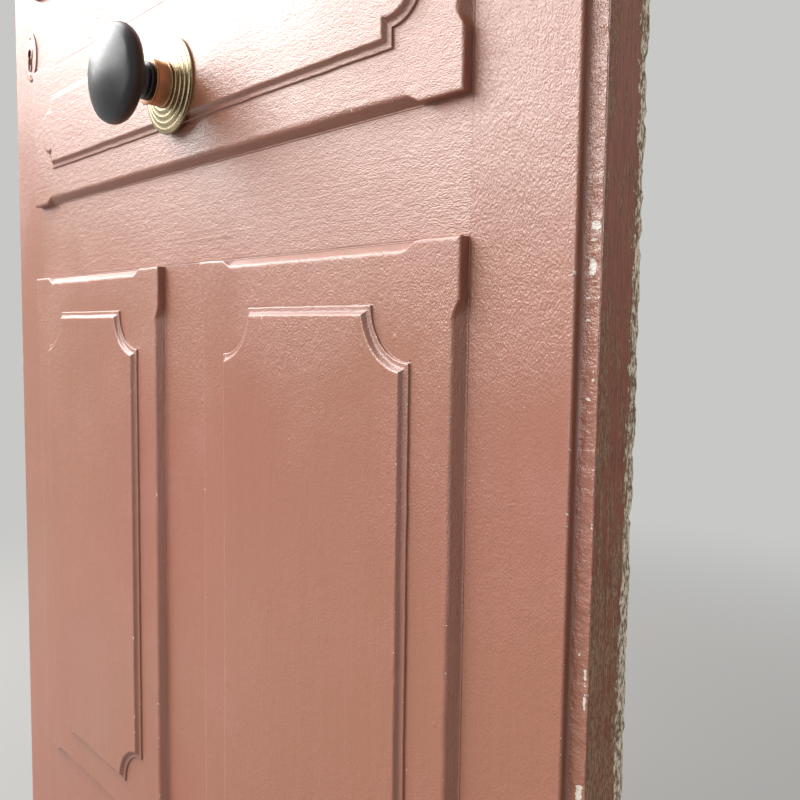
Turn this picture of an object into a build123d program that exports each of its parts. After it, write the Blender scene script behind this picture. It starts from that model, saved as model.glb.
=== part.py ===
from build123d import *
import os
from math import sqrt

# Panelled front door leaf, in millimetres.
# X runs across the leaf towards the hinge side, Z is up and the street side faces -Y.
# The origin is the middle of the leaf's bottom edge. "Out" is a distance from the
# leaf's middle plane towards the street, so a larger value is nearer the viewer.

os.makedirs("parts", exist_ok=True)

# Leaf
leaf_height = 2032.0
face_width = 820.0
leaf_thickness = 45.0
edge_step_width = 12.0
edge_step_depth = 6.0
stile_face = 74.0
muntin_width = 73.0
bottom_rail_height = 215.0
lower_panel_height = 555.0
middle_rail_height = 80.0
wide_panel_height = 152.0
lock_rail_height = 80.0
top_rail_height = 95.0

# Joints of the frame
groove_width = 12.0
groove_depth = 12.0
tenon_thickness = 14.0
tenon_length = 58.0
tenon_shoulder = 15.0
tenon_split = 40.0
bottom_rail_tenons = 2
tenon_end_gap = 2.0
muntin_tenon_length = 28.0
glue_line = 0.1

# Raised panels
tongue_reach = 10.0
tongue_fit = 0.2
panel_joint = 0.3
panel_proud = 8.0
panel_ledge = 1.4
panel_ledge_drop = 0.4
panel_chamfer = 6.8
panel_stop = 36.0
panel_stop_run = 6.0
panel_corner_wall = 0.9

# Raised fields of the panels
field_side_margin = 41.0
field_end_margin = 40.0
scoop_radius = 36.5
field_step = 1.6
field_quirk = 2.4
field_slope = 4.4
field_height = 5.0
tablet_side_margin = 60.0
tablet_end_margin = 37.0
tablet_shoulder = 12.5

# Knob
knob_drop = 7.0
rose_radius = 40.0
rose_rim = 1.8
rose_height = 7.0
rose_rings = 4
rose_cove_share = 0.7
ferrule_radius = 18.5
ferrule_length = 14.6
ferrule_bead = 0.9
collar_radius = 15.5
collar_length = 5.0
neck_radius = 12.5
neck_length = 8.0
head_radius = 40.0
head_front = 17.5
head_back = 14.5
head_rim_radius = 9.0
knob_bolt_radius = 4.0
knob_bolt_clearance = 0.2
knob_bolt_grip = 16.0
knob_bolt_tail = 6.0
knob_bolt_chamfer = 0.8
washer_radius = 13.0
washer_thickness = 2.0
washer_chamfer = 0.6
nut_across_flats = 14.0
nut_thickness = 6.5

# Keyhole and its plate
keyhole_inset = 52.0
keyhole_radius = 5.0
keyhole_slot_width = 6.0
keyhole_slot_drop = 18.0
key_drop = 13.0
escutcheon_width = 36.0
escutcheon_height = 54.0
escutcheon_thickness = 1.6
escutcheon_lip = 1.0
escutcheon_lip_width = 3.0
escutcheon_drop = 3.0
escutcheon_pin_radius = 1.0
escutcheon_pin_length = 14.0
escutcheon_pin_head = 0.8
escutcheon_pin_margin = 6.0

# Rim lock on the room side
case_length = 140.0
case_height = 74.0
case_depth = 20.0
case_wall = 2.0
case_corner = 3.0
case_edge_round = 1.5
case_screw_bite = 15.0
flange_reach = 20.0
flange_thickness = 2.0
flange_screw_rise = 12.3
plate_thickness = 2.0
plate_clearance = 0.2
bolt_clearance = 0.3
latch_offset = 24.5
latch_height = 14.0
latch_thickness = 11.0
latch_throw = 12.0
latch_head_inner = 18.0
latch_bar_end = 75.0
latch_bar_height = 9.0
latch_bar_thickness = 6.0
latch_rod_radius = 2.0
latch_rod_end = 112.0
spring_coil_radius = 3.2
spring_wire = 0.9
spring_sides = 6
spring_turns = 6
lug_place = 106.0
lug_length = 4.0
pull_place = 60.0
pull_stem_radius = 3.0
pull_stem_length = 7.0
pull_knob_radius = 8.0
pull_knob_depth = 7.0
dead_offset = 5.5
dead_height = 15.0
dead_thickness = 11.0
dead_throw = 16.0
dead_head_inner = 24.0
dead_bar_end = 104.0
dead_bar_height = 10.0
dead_bar_thickness = 6.0
talon_width = 15.0
talon_depth = 4.5
guide_post_place = 79.0
guide_post_radius = 2.5
bow_place = 46.0
bow_length = 26.0
bow_rise = 4.0
bow_strip = 0.7
bow_width = 6.0

# Hinges
hinge_bottom_height = 230.0
hinge_top_drop = 232.0
hinge_length = 102.0
hinge_plate_width = 31.0
hinge_plate_thickness = 2.6
knuckle_radius = 7.0
knuckle_length = 50.0
hinge_bore_radius = 4.05
hinge_bore_mouth = 1.0
hinge_setback = 0.6
hinge_screw_count = 4
hinge_screw_pitch = 25.5
hinge_screw_stagger = 6.2

# Screws
screw_radius = 2.2
screw_head_radius = 4.2
screw_head_depth = 1.9
screw_slot_width = 1.1
screw_slot_depth = 0.9
screw_clearance = 0.05
screw_length = 25.0

# Places worked out from the sizes above
front = leaf_thickness / 2
back = -leaf_thickness / 2
leaf_half = face_width / 2 + edge_step_width
opening_half = face_width / 2 - stile_face
lower_panel_low = bottom_rail_height
lower_panel_high = lower_panel_low + lower_panel_height
wide_panel_low = lower_panel_high + middle_rail_height
wide_panel_high = wide_panel_low + wide_panel_height
upper_panel_low = wide_panel_high + lock_rail_height
upper_panel_high = leaf_height - top_rail_height
lock_z = wide_panel_high + lock_rail_height / 2
tongue_half = groove_width / 2 - tongue_fit
panel_face = front + panel_proud
field_face = panel_face + field_height
knob_z = (wide_panel_low + wide_panel_high) / 2 - knob_drop
keyhole_x = -(face_width / 2 - keyhole_inset)
keyhole_z = lock_z - key_drop
slot_low = keyhole_z - keyhole_slot_drop
hinge_axis_x = leaf_half - hinge_plate_thickness + knuckle_radius
hinge_axis_out = back - hinge_setback - knuckle_radius
closing_edge = -leaf_half
hinge_top_height = leaf_height - hinge_top_drop
hinge_heights = {
    "bottom": hinge_bottom_height,
    "middle": (hinge_bottom_height + hinge_top_height) / 2,
    "top": hinge_top_height,
}
case_screw_length = case_depth + case_screw_bite
plate_middle = keyhole_z - escutcheon_drop
pin_rise = escutcheon_height / 2 - escutcheon_pin_margin


def facing(out):
    """The upright plane at a distance out, looking towards the street."""
    return Plane.XZ.offset(out)


def block(x_span, out_span, z_span, mode=Mode.ADD):
    """A box between pairs of X, out and Z values."""
    middle = (sum(x_span) / 2, -sum(out_span) / 2, sum(z_span) / 2)
    with Locations(middle):
        Box(x_span[1] - x_span[0], out_span[1] - out_span[0], z_span[1] - z_span[0], mode=mode)


def tenon_spans(low, high):
    """Heights of the tenons of a rail that lies between low and high."""
    count = bottom_rail_tenons if low == 0 else 1
    first, last = low + tenon_shoulder, high - tenon_shoulder
    size = (last - first - (count - 1) * tenon_split) / count
    return [(first + i * (size + tenon_split), first + i * (size + tenon_split) + size) for i in range(count)]


def save(piece, label):
    """Label a finished piece and write its file."""
    piece.label = label
    export_step(piece, f"parts/{label}.step")


# Stiles, rails and muntins

rails = {
    "bottom_rail": (0, bottom_rail_height),
    "middle_rail": (lower_panel_high, wide_panel_low),
    "lock_rail": (wide_panel_high, upper_panel_low),
    "top_rail": (upper_panel_high, leaf_height),
}
muntins = {
    "lower_muntin": (lower_panel_low, lower_panel_high),
    "upper_muntin": (upper_panel_low, upper_panel_high),
}
panel_bays = [(lower_panel_low, lower_panel_high), (wide_panel_low, wide_panel_high),
              (upper_panel_low, upper_panel_high)]


def keyhole_outline(clearance=0.0):
    """The keyhole: a round hole with a straight slot below it."""
    with Locations((keyhole_x, keyhole_z)):
        Circle(keyhole_radius + clearance)
    with Locations((keyhole_x, (keyhole_z + slot_low - clearance) / 2)):
        Rectangle(keyhole_slot_width + 2 * clearance, keyhole_z - slot_low + clearance)


def flank(side, inner, outer):
    """An X span between two distances from the middle, on the side -1 or 1."""
    return tuple(sorted((side * inner, side * outer)))


def screw_hole(spot, length):
    """A pilot hole for a screw whose head lies on the spot's plane."""
    with Locations(spot):
        Cylinder(screw_radius + screw_clearance, length + screw_clearance,
                 align=(Align.CENTER, Align.CENTER, Align.MAX), mode=Mode.SUBTRACT)


def countersink(spot):
    """The recess that a screw's head sits in."""
    with Locations(spot):
        Cone(screw_radius + screw_clearance, screw_head_radius + screw_clearance,
             screw_head_depth + screw_clearance,
             align=(Align.CENTER, Align.CENTER, Align.MAX), mode=Mode.SUBTRACT)


def screw(spot, length, turn):
    """A slotted countersunk wood screw with its head on the spot's plane."""
    with Locations(spot):
        Cone(screw_radius, screw_head_radius, screw_head_depth,
             align=(Align.CENTER, Align.CENTER, Align.MAX))
        Cylinder(screw_radius, length - 2 * screw_head_depth,
                 align=(Align.CENTER, Align.CENTER, Align.MAX))
    with Locations(spot * Location((0, 0, -(length - 2 * screw_head_depth)))):
        Cone(screw_clearance, screw_radius, 2 * screw_head_depth,
             align=(Align.CENTER, Align.CENTER, Align.MAX))
    with Locations(spot * Location((0, 0, 0), (0, 0, turn))):
        Box(2 * screw_head_radius, screw_slot_width, 2 * screw_slot_depth, mode=Mode.SUBTRACT)


def hinge_spots(height):
    """Where a hinge's screws enter the stile's edge, in two staggered columns."""
    plate_middle_out = back + hinge_plate_width / 2
    spots = []
    for i in range(hinge_screw_count):
        z = height + hinge_screw_pitch * (i - (hinge_screw_count - 1) / 2)
        out = plate_middle_out + hinge_screw_stagger * (-1) ** i
        spots.append(Location(Plane(origin=(leaf_half, -out, z), x_dir=(0, 0, 1), z_dir=(1, 0, 0))))
    return spots


def flange_spots():
    """Where the lock's two flange screws enter the closing edge."""
    out = back + flange_reach / 2
    return [Location(Plane(origin=(closing_edge, -out, lock_z + s * flange_screw_rise),
                           x_dir=(0, 0, 1), z_dir=(-1, 0, 0))) for s in (-1, 1)]


def case_spots():
    """Where the three long lock screws enter the case, clear of the bolts."""
    rise = case_height / 2 - 2 * screw_head_radius
    reach = 2 * screw_head_radius
    corners = [(reach + case_wall, -rise), (case_length - reach, -rise), (case_length - reach, rise)]
    return [Location(Plane(origin=(closing_edge + u, -back + case_depth, lock_z + v),
                           x_dir=(1, 0, 0), z_dir=(0, 1, 0))) for u, v in corners]


for name, side in (("lock_stile", -1), ("hinge_stile", 1)):
    with BuildPart() as stile:
        block(flank(side, opening_half, leaf_half), (back, front), (0, leaf_height))
        block(flank(side, face_width / 2, leaf_half), (front - edge_step_depth, front), (0, leaf_height),
              Mode.SUBTRACT)
        block(flank(side, opening_half, leaf_half), (front - edge_step_depth, front),
              (leaf_height - edge_step_width, leaf_height), Mode.SUBTRACT)
        for low, high in panel_bays:
            block(flank(side, opening_half, opening_half + groove_depth),
                  (-groove_width / 2, groove_width / 2), (low - groove_depth, high + groove_depth),
                  Mode.SUBTRACT)
        for low, high in rails.values():
            for tenon_low, tenon_high in tenon_spans(low, high):
                block(flank(side, opening_half, opening_half + tenon_length + tenon_end_gap),
                      (-tenon_thickness / 2 - glue_line, tenon_thickness / 2 + glue_line),
                      (tenon_low - glue_line, tenon_high + glue_line), Mode.SUBTRACT)
        if side < 0:
            with BuildSketch(facing(front)):
                keyhole_outline()
            extrude(amount=-leaf_thickness, mode=Mode.SUBTRACT)
            block((closing_edge, closing_edge + flange_thickness), (back, back + flange_reach),
                  (lock_z - case_height / 2, lock_z + case_height / 2), Mode.SUBTRACT)
            for spot in flange_spots():
                screw_hole(spot, screw_length)
            screw_hole(case_spots()[0], case_screw_length)
            for s in (-1, 1):
                with Locations((keyhole_x, -front, plate_middle + s * pin_rise)):
                    Cylinder(escutcheon_pin_radius + screw_clearance, 2 * escutcheon_pin_length,
                             rotation=(90, 0, 0), mode=Mode.SUBTRACT)
        else:
            for height in hinge_heights.values():
                block((leaf_half - hinge_plate_thickness, leaf_half), (back, back + hinge_plate_width),
                      (height - hinge_length / 2, height + hinge_length / 2), Mode.SUBTRACT)
                for spot in hinge_spots(height):
                    screw_hole(spot, screw_length)
    save(stile.part, name)

for name, (low, high) in rails.items():
    with BuildPart() as rail:
        block((-opening_half, opening_half), (back, front), (low, high))
        for side in (-1, 1):
            for tenon in tenon_spans(low, high):
                block(flank(side, opening_half, opening_half + tenon_length),
                      (-tenon_thickness / 2, tenon_thickness / 2), tenon)
        for bay_low, bay_high in panel_bays:
            if bay_low == high:
                block((-opening_half, opening_half), (-groove_width / 2, groove_width / 2),
                      (high - groove_depth, high), Mode.SUBTRACT)
            if bay_high == low:
                block((-opening_half, opening_half), (-groove_width / 2, groove_width / 2),
                      (low, low + groove_depth), Mode.SUBTRACT)
        for muntin_low, muntin_high in muntins.values():
            half = muntin_width / 2 - groove_depth + glue_line
            cheek = tenon_thickness / 2 + glue_line
            reach = muntin_tenon_length + tenon_end_gap
            if muntin_low == high:
                block((-half, half), (-cheek, cheek), (high - reach, high), Mode.SUBTRACT)
            if muntin_high == low:
                block((-half, half), (-cheek, cheek), (low, low + reach), Mode.SUBTRACT)
        if high == leaf_height:
            block((-opening_half, opening_half), (front - edge_step_depth, front),
                  (leaf_height - edge_step_width, leaf_height), Mode.SUBTRACT)
        if low == wide_panel_high:
            for spot in case_spots()[1:]:
                screw_hole(spot, case_screw_length)
            with BuildSketch(facing(front)):
                keyhole_outline()
            extrude(amount=-leaf_thickness, mode=Mode.SUBTRACT)
    save(rail.part, name)

for name, (low, high) in muntins.items():
    with BuildPart() as muntin:
        block((-muntin_width / 2, muntin_width / 2), (back, front), (low, high))
        block((-muntin_width / 2 + groove_depth, muntin_width / 2 - groove_depth),
              (-tenon_thickness / 2, tenon_thickness / 2),
              (low - muntin_tenon_length, high + muntin_tenon_length))
        for side in (-1, 1):
            block(flank(side, muntin_width / 2 - groove_depth, muntin_width / 2),
                  (-groove_width / 2, groove_width / 2), (low, high), Mode.SUBTRACT)
    save(muntin.part, name)


# Panels

def scooped_outline(x_span, z_span, inset):
    """A rectangle whose corners are scooped out by quarter circles about the corners."""
    (x0, x1), (z0, z1) = x_span, z_span
    radius = scoop_radius + inset
    reach = sqrt(radius ** 2 - inset ** 2)
    bow = radius * sqrt(0.5)
    with BuildSketch() as outline:
        with BuildLine():
            Line((x0 + reach, z0 + inset), (x1 - reach, z0 + inset))
            ThreePointArc((x1 - reach, z0 + inset), (x1 - bow, z0 + bow), (x1 - inset, z0 + reach))
            Line((x1 - inset, z0 + reach), (x1 - inset, z1 - reach))
            ThreePointArc((x1 - inset, z1 - reach), (x1 - bow, z1 - bow), (x1 - reach, z1 - inset))
            Line((x1 - reach, z1 - inset), (x0 + reach, z1 - inset))
            ThreePointArc((x0 + reach, z1 - inset), (x0 + bow, z1 - bow), (x0 + inset, z1 - reach))
            Line((x0 + inset, z1 - reach), (x0 + inset, z0 + reach))
            ThreePointArc((x0 + inset, z0 + reach), (x0 + bow, z0 + bow), (x0 + reach, z0 + inset))
        make_face()
    return outline.sketch


def tablet_outline(x_span, z_span, inset):
    """A lying rectangle with small shoulders and round ends that bulge out between them."""
    (x0, x1), (z0, z1) = x_span, z_span
    middle = (z0 + z1) / 2
    radius = (z1 - z0) / 2 - tablet_shoulder - inset
    rise = sqrt(radius ** 2 - inset ** 2)
    with BuildSketch() as outline:
        with BuildLine():
            Line((x0 + inset, z0 + inset), (x1 - inset, z0 + inset))
            Line((x1 - inset, z0 + inset), (x1 - inset, middle - rise))
            ThreePointArc((x1 - inset, middle - rise), (x1 + radius, middle), (x1 - inset, middle + rise))
            Line((x1 - inset, middle + rise), (x1 - inset, z1 - inset))
            Line((x1 - inset, z1 - inset), (x0 + inset, z1 - inset))
            Line((x0 + inset, z1 - inset), (x0 + inset, middle + rise))
            ThreePointArc((x0 + inset, middle + rise), (x0 - radius, middle), (x0 + inset, middle - rise))
            Line((x0 + inset, middle - rise), (x0 + inset, z0 + inset))
        make_face()
    return outline.sketch


def chamfer_cutter(x_span, z_span, edge):
    """The wedge that takes a stopped chamfer off one edge of a panel, as two sections."""
    (x0, x1), (z0, z1) = x_span, z_span
    spill = panel_proud
    sections = []
    foot = panel_proud + panel_ledge_drop
    for depth, cut, run in ((0, panel_chamfer, 0), (foot, panel_ledge, panel_stop_run)):
        if edge in ("low", "high"):
            length = x1 - x0 - 2 * (panel_stop + run)
            across = (x0 + x1) / 2
            base, sign = (z0, -1) if edge == "low" else (z1, 1)
            centre = (across, base + sign * (spill - cut) / 2)
            size = (length, cut + spill)
        else:
            length = z1 - z0 - 2 * (panel_stop + run)
            across = (z0 + z1) / 2
            base, sign = (x0, -1) if edge == "left" else (x1, 1)
            centre = (base + sign * (spill - cut) / 2, across)
            size = (cut + spill, length)
        sections.append((depth, centre, size))
    return sections


half_muntin = muntin_width / 2
panels = {
    "lower_left_panel": ((-opening_half, -half_muntin), (lower_panel_low, lower_panel_high), scooped_outline),
    "lower_right_panel": ((half_muntin, opening_half), (lower_panel_low, lower_panel_high), scooped_outline),
    "wide_panel": ((-opening_half, opening_half), (wide_panel_low, wide_panel_high), tablet_outline),
    "upper_left_panel": ((-opening_half, -half_muntin), (upper_panel_low, upper_panel_high), scooped_outline),
    "upper_right_panel": ((half_muntin, opening_half), (upper_panel_low, upper_panel_high), scooped_outline),
}

for name, (x_span, z_span, outline) in panels.items():
    lying = outline is tablet_outline
    side_margin = tablet_side_margin if lying else field_side_margin
    end_margin = tablet_end_margin if lying else field_end_margin
    field_x = (x_span[0] + side_margin, x_span[1] - side_margin)
    field_z = (z_span[0] + end_margin, z_span[1] - end_margin)
    wall_x = (x_span[0] + panel_joint, x_span[1] - panel_joint)
    wall_z = (z_span[0] + panel_joint, z_span[1] - panel_joint)
    with BuildPart() as panel:
        block((x_span[0] - tongue_reach, x_span[1] + tongue_reach), (-tongue_half, tongue_half),
              (z_span[0] - tongue_reach, z_span[1] + tongue_reach))
        block(wall_x, (tongue_half, front - panel_ledge_drop), wall_z)
        block((wall_x[0] + panel_corner_wall, wall_x[1] - panel_corner_wall),
              (front - panel_ledge_drop, panel_face),
              (wall_z[0] + panel_corner_wall, wall_z[1] - panel_corner_wall))
        for edge in ("low", "high", "left", "right"):
            for depth, centre, size in chamfer_cutter(wall_x, wall_z, edge):
                with BuildSketch(facing(panel_face - depth)):
                    with Locations(centre):
                        Rectangle(*size)
            loft(ruled=True, mode=Mode.SUBTRACT)
        with BuildSketch(facing(panel_face)):
            add(outline(field_x, field_z, 0))
        extrude(amount=field_step)
        for rise, inset in ((field_step, field_quirk), (field_height, field_quirk + field_slope)):
            with BuildSketch(facing(panel_face + rise)):
                add(outline(field_x, field_z, inset))
        loft(ruled=True)
        if lying:
            with Locations((0, -panel_face, knob_z)):
                Cylinder(knob_bolt_radius + knob_bolt_clearance, 2 * (panel_face + leaf_thickness),
                         rotation=(90, 0, 0), mode=Mode.SUBTRACT)
    save(panel.part, name)


# Knob, turned about an axis that runs straight out of the wide panel

knob_plane = Plane(origin=(0, 0, knob_z), x_dir=(0, -1, 0), z_dir=(-1, 0, 0))
knob_axis = Axis((0, 0, knob_z), (0, -1, 0))
bolt_hole = knob_bolt_radius + knob_bolt_clearance
rose_face = field_face + rose_height
ferrule_face = rose_face + ferrule_length
collar_face = ferrule_face + collar_length
neck_face = collar_face + neck_length
panel_back = -tongue_half


def crown_radius(rise):
    """Radius of the arc that crowns the head to a rise and runs smoothly into its round rim."""
    rim_place = head_radius - head_rim_radius
    return (rise ** 2 + rim_place ** 2 - head_rim_radius ** 2) / (2 * (rise - head_rim_radius))


back_crown = crown_radius(head_back)
head_middle = neck_face + sqrt(back_crown ** 2 - neck_radius ** 2) - (back_crown - head_back)


def head_outline(rise, side):
    """Half of the head's outline, from its widest circle to its top, on the side -1 or 1 of it."""
    crown = crown_radius(rise)
    rim = Vector(head_middle, head_radius - head_rim_radius)
    hub = Vector(head_middle + side * (rise - crown), 0)
    lean = (rim - hub).normalized()
    meet = rim + lean * head_rim_radius
    rim_middle = rim + (Vector(0, 1) + lean).normalized() * head_rim_radius
    crown_middle = hub + (Vector(side, 0) + lean).normalized() * crown
    ThreePointArc((head_middle, head_radius), rim_middle, meet)
    ThreePointArc(meet, crown_middle, (head_middle + side * rise, 0))


with BuildPart() as knob_rose:
    ring_width = (rose_radius - ferrule_radius - 2 * ferrule_bead) / rose_rings
    ring_rise = (rose_height - rose_rim) / rose_rings
    cove_width = ring_width * rose_cove_share
    with BuildSketch(knob_plane):
        with BuildLine():
            Polyline((field_face, bolt_hole), (field_face, rose_radius), (field_face + rose_rim, rose_radius))
            for i in range(rose_rings):
                low_out = field_face + rose_rim + i * ring_rise
                wide = rose_radius - i * ring_width
                RadiusArc((low_out, wide), (low_out + ring_rise, wide - cove_width), -ring_width)
                Line((low_out + ring_rise, wide - cove_width), (low_out + ring_rise, wide - ring_width))
            Polyline((rose_face, rose_radius - rose_rings * ring_width), (rose_face, bolt_hole),
                     (field_face, bolt_hole))
        make_face()
    revolve(axis=knob_axis)
save(knob_rose.part, "knob_rose")

with BuildPart() as knob_ferrule:
    waist = ferrule_radius - ferrule_bead
    bead_face = rose_face + 2 * ferrule_bead
    with BuildSketch(knob_plane):
        with BuildLine():
            Polyline((rose_face, bolt_hole), (rose_face, ferrule_radius))
            ThreePointArc((rose_face, ferrule_radius),
                          (rose_face + ferrule_bead, ferrule_radius + ferrule_bead),
                          (bead_face, ferrule_radius))
            Polyline((bead_face, ferrule_radius), (bead_face + ferrule_bead, waist),
                     (ferrule_face - 2 * ferrule_bead, waist))
            ThreePointArc((ferrule_face - 2 * ferrule_bead, waist),
                          (ferrule_face - ferrule_bead, ferrule_radius),
                          (ferrule_face, waist))
            Polyline((ferrule_face, waist), (ferrule_face, bolt_hole), (rose_face, bolt_hole))
        make_face()
    revolve(axis=knob_axis)
save(knob_ferrule.part, "knob_ferrule")

with BuildPart() as knob_head:
    swell = collar_face + neck_length / 2
    with BuildSketch(knob_plane):
        with BuildLine():
            Polyline((ferrule_face, 0), (ferrule_face, collar_radius),
                     (ferrule_face + collar_length / 2, collar_radius))
            ThreePointArc((ferrule_face + collar_length / 2, collar_radius),
                          (collar_face, neck_radius + (collar_radius - neck_radius) / 3),
                          (swell, neck_radius))
            Polyline((swell, neck_radius), (head_middle, neck_radius), (head_middle, 0), (ferrule_face, 0))
        make_face()
    revolve(axis=knob_axis)
    with BuildSketch(knob_plane):
        with BuildLine():
            head_outline(head_front, 1)
            head_outline(head_back, -1)
            Line((head_middle - head_back, 0), (head_middle + head_front, 0))
        make_face()
    revolve(axis=knob_axis)
    with Locations((0, -(ferrule_face + knob_bolt_grip / 2), knob_z)):
        Cylinder(bolt_hole, knob_bolt_grip, rotation=(90, 0, 0), mode=Mode.SUBTRACT)
save(knob_head.part, "knob_head")

washer_back = panel_back - washer_thickness
nut_back = washer_back - nut_thickness

with BuildPart() as knob_bolt:
    bolt_tip = nut_back - knob_bolt_tail
    bolt_end = ferrule_face + knob_bolt_grip - knob_bolt_clearance
    with BuildSketch(facing(bolt_tip)):
        with Locations((0, knob_z)):
            Circle(knob_bolt_radius)
    extrude(amount=bolt_end - bolt_tip)
    chamfer(knob_bolt.edges().filter_by(GeomType.CIRCLE), length=knob_bolt_chamfer)
save(knob_bolt.part, "knob_bolt")

with BuildPart() as knob_washer:
    with BuildSketch(facing(washer_back)):
        with Locations((0, knob_z)):
            Circle(washer_radius)
            Circle(bolt_hole, mode=Mode.SUBTRACT)
    extrude(amount=washer_thickness)
    rim = knob_washer.edges().filter_by(GeomType.CIRCLE).sort_by(SortBy.RADIUS)[-2:].sort_by(Axis.Y)[-1]
    chamfer(rim, length=washer_chamfer)
save(knob_washer.part, "knob_washer")

with BuildPart() as knob_nut:
    with BuildSketch(facing(nut_back)):
        with Locations((0, knob_z)):
            RegularPolygon(nut_across_flats / 2, 6, major_radius=False)
            Circle(knob_bolt_radius + screw_clearance, mode=Mode.SUBTRACT)
    extrude(amount=nut_thickness)
save(knob_nut.part, "knob_nut")


# Keyhole plate on the street side

escutcheon_face = front + escutcheon_thickness

with BuildPart() as keyhole_escutcheon:
    with BuildSketch(facing(front)):
        with Locations((keyhole_x, plate_middle)):
            Ellipse(escutcheon_width / 2, escutcheon_height / 2)
    extrude(amount=escutcheon_thickness)
    with BuildSketch(facing(escutcheon_face)):
        with Locations((keyhole_x, keyhole_z)):
            Circle(keyhole_radius + escutcheon_lip_width)
    extrude(amount=escutcheon_lip)
    with BuildSketch(facing(escutcheon_face + escutcheon_lip)):
        keyhole_outline()
    extrude(amount=-2 * (escutcheon_thickness + escutcheon_lip), mode=Mode.SUBTRACT)
    for s in (-1, 1):
        with Locations((keyhole_x, -front, plate_middle + s * pin_rise)):
            Cylinder(escutcheon_pin_radius + screw_clearance, 4 * escutcheon_thickness,
                     rotation=(90, 0, 0), mode=Mode.SUBTRACT)
save(keyhole_escutcheon.part, "keyhole_escutcheon")

with BuildPart() as escutcheon_pins:
    for s in (-1, 1):
        middle = Plane(origin=(keyhole_x, -escutcheon_face, plate_middle + s * pin_rise),
                       x_dir=(1, 0, 0), z_dir=(0, -1, 0))
        with Locations(middle):
            Cylinder(escutcheon_pin_radius, escutcheon_pin_length,
                     align=(Align.CENTER, Align.CENTER, Align.MAX))
            Cone(2 * escutcheon_pin_radius, escutcheon_pin_radius, escutcheon_pin_head,
                 align=(Align.CENTER, Align.CENTER, Align.MIN))
save(escutcheon_pins.part, "escutcheon_pins")


# Rim lock. "Reach" is the distance from the closing edge into the leaf's width.

case_low, case_high = lock_z - case_height / 2, lock_z + case_height / 2
case_back = back - case_depth
cavity_back = case_back + case_wall
latch_z = lock_z + latch_offset
dead_z = lock_z + dead_offset
plate_back = back - plate_thickness
works_out = (plate_back + cavity_back) / 2


def span(middle, size):
    """The two ends of a size about its middle."""
    return (middle - size / 2, middle + size / 2)


def reaches(first, last):
    """An X span between two reaches."""
    return (closing_edge + first, closing_edge + last)


with BuildPart() as lock_case:
    block(reaches(0, case_length), (case_back, back), (case_low, case_high))
    corner_edges = lock_case.edges().filter_by(Axis.Y).group_by(Axis.X)[-1]
    fillet(corner_edges, radius=case_corner)
    fillet(lock_case.faces().sort_by(Axis.Y)[-1].edges(), radius=case_edge_round)
    block(reaches(case_wall, case_length - case_wall), (cavity_back, back),
          (case_low + case_wall, case_high - case_wall), Mode.SUBTRACT)
    block(reaches(0, flange_thickness), (back, back + flange_reach), (case_low, case_high))
    for z, height, thickness in ((latch_z, latch_height, latch_thickness),
                                 (dead_z, dead_height, dead_thickness)):
        block(reaches(-case_wall, 2 * case_wall), span(works_out, thickness + 2 * bolt_clearance),
              span(z, height + 2 * bolt_clearance), Mode.SUBTRACT)
    block(reaches(pull_place - pull_stem_radius - 2 * bolt_clearance,
                  pull_place + latch_throw + pull_stem_radius + 2 * bolt_clearance),
          (case_back - case_wall, cavity_back + case_wall),
          span(latch_z, 2 * (pull_stem_radius + 2 * bolt_clearance)), Mode.SUBTRACT)
    with BuildSketch(facing(cavity_back)):
        keyhole_outline()
    extrude(amount=-2 * case_wall, mode=Mode.SUBTRACT)
    for spot in case_spots():
        screw_hole(spot, 2 * case_wall)
        countersink(spot)
    for spot in flange_spots():
        screw_hole(spot, 2 * flange_thickness)
        countersink(spot)
save(lock_case.part, "lock_case")

with BuildPart() as lock_plate:
    block(reaches(case_wall + plate_clearance, case_length - case_wall - plate_clearance), (plate_back, back),
          (case_low + case_wall + plate_clearance, case_high - case_wall - plate_clearance))
    post_depth = (cavity_back + plate_clearance, plate_back)
    block(reaches(lug_place, lug_place + lug_length), post_depth, span(latch_z, latch_bar_height))
    block(reaches(bow_place - bow_strip, bow_place + bow_length + bow_strip), post_depth,
          (dead_z + dead_bar_height / 2 + bow_rise + 2 * bow_strip,
           latch_z - latch_bar_height / 2 - bolt_clearance))
    with BuildSketch(facing(plate_back)):
        with Locations((closing_edge + guide_post_place, dead_z)):
            Circle(guide_post_radius)
    extrude(amount=post_depth[0] - plate_back)
    with Locations((closing_edge + lug_place + lug_length / 2, -works_out, latch_z)):
        Cylinder(latch_rod_radius + bolt_clearance, 2 * lug_length, rotation=(0, 90, 0), mode=Mode.SUBTRACT)
    with BuildSketch(facing(back)):
        keyhole_outline()
    extrude(amount=-2 * plate_thickness, mode=Mode.SUBTRACT)
    for spot in case_spots():
        screw_hole(spot, 2 * case_depth)
save(lock_plate.part, "lock_plate")

with BuildPart() as latch_bolt:
    street_side, room_side = (-out for out in reversed(span(works_out, latch_thickness)))
    tip, root = closing_edge - latch_throw, closing_edge + latch_head_inner
    with BuildSketch(Plane.XY.offset(latch_z - latch_height / 2)):
        with BuildLine():
            Polyline((tip, room_side), (tip, room_side - latch_thickness / 4), (closing_edge, street_side),
                     (root, street_side), (root, room_side), close=True)
        make_face()
    extrude(amount=latch_height)
    block(reaches(latch_head_inner, latch_bar_end), span(works_out, latch_bar_thickness),
          span(latch_z, latch_bar_height))
    rod_length = latch_rod_end - latch_bar_end
    with Locations((closing_edge + latch_bar_end + rod_length / 2, -works_out, latch_z)):
        Cylinder(latch_rod_radius, rod_length, rotation=(0, 90, 0))
    with Locations((closing_edge + pull_place, -works_out, latch_z)):
        Cylinder(pull_stem_radius / 2 + screw_clearance, 2 * latch_bar_thickness, rotation=(90, 0, 0),
                 mode=Mode.SUBTRACT)
save(latch_bolt.part, "latch_bolt")

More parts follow.
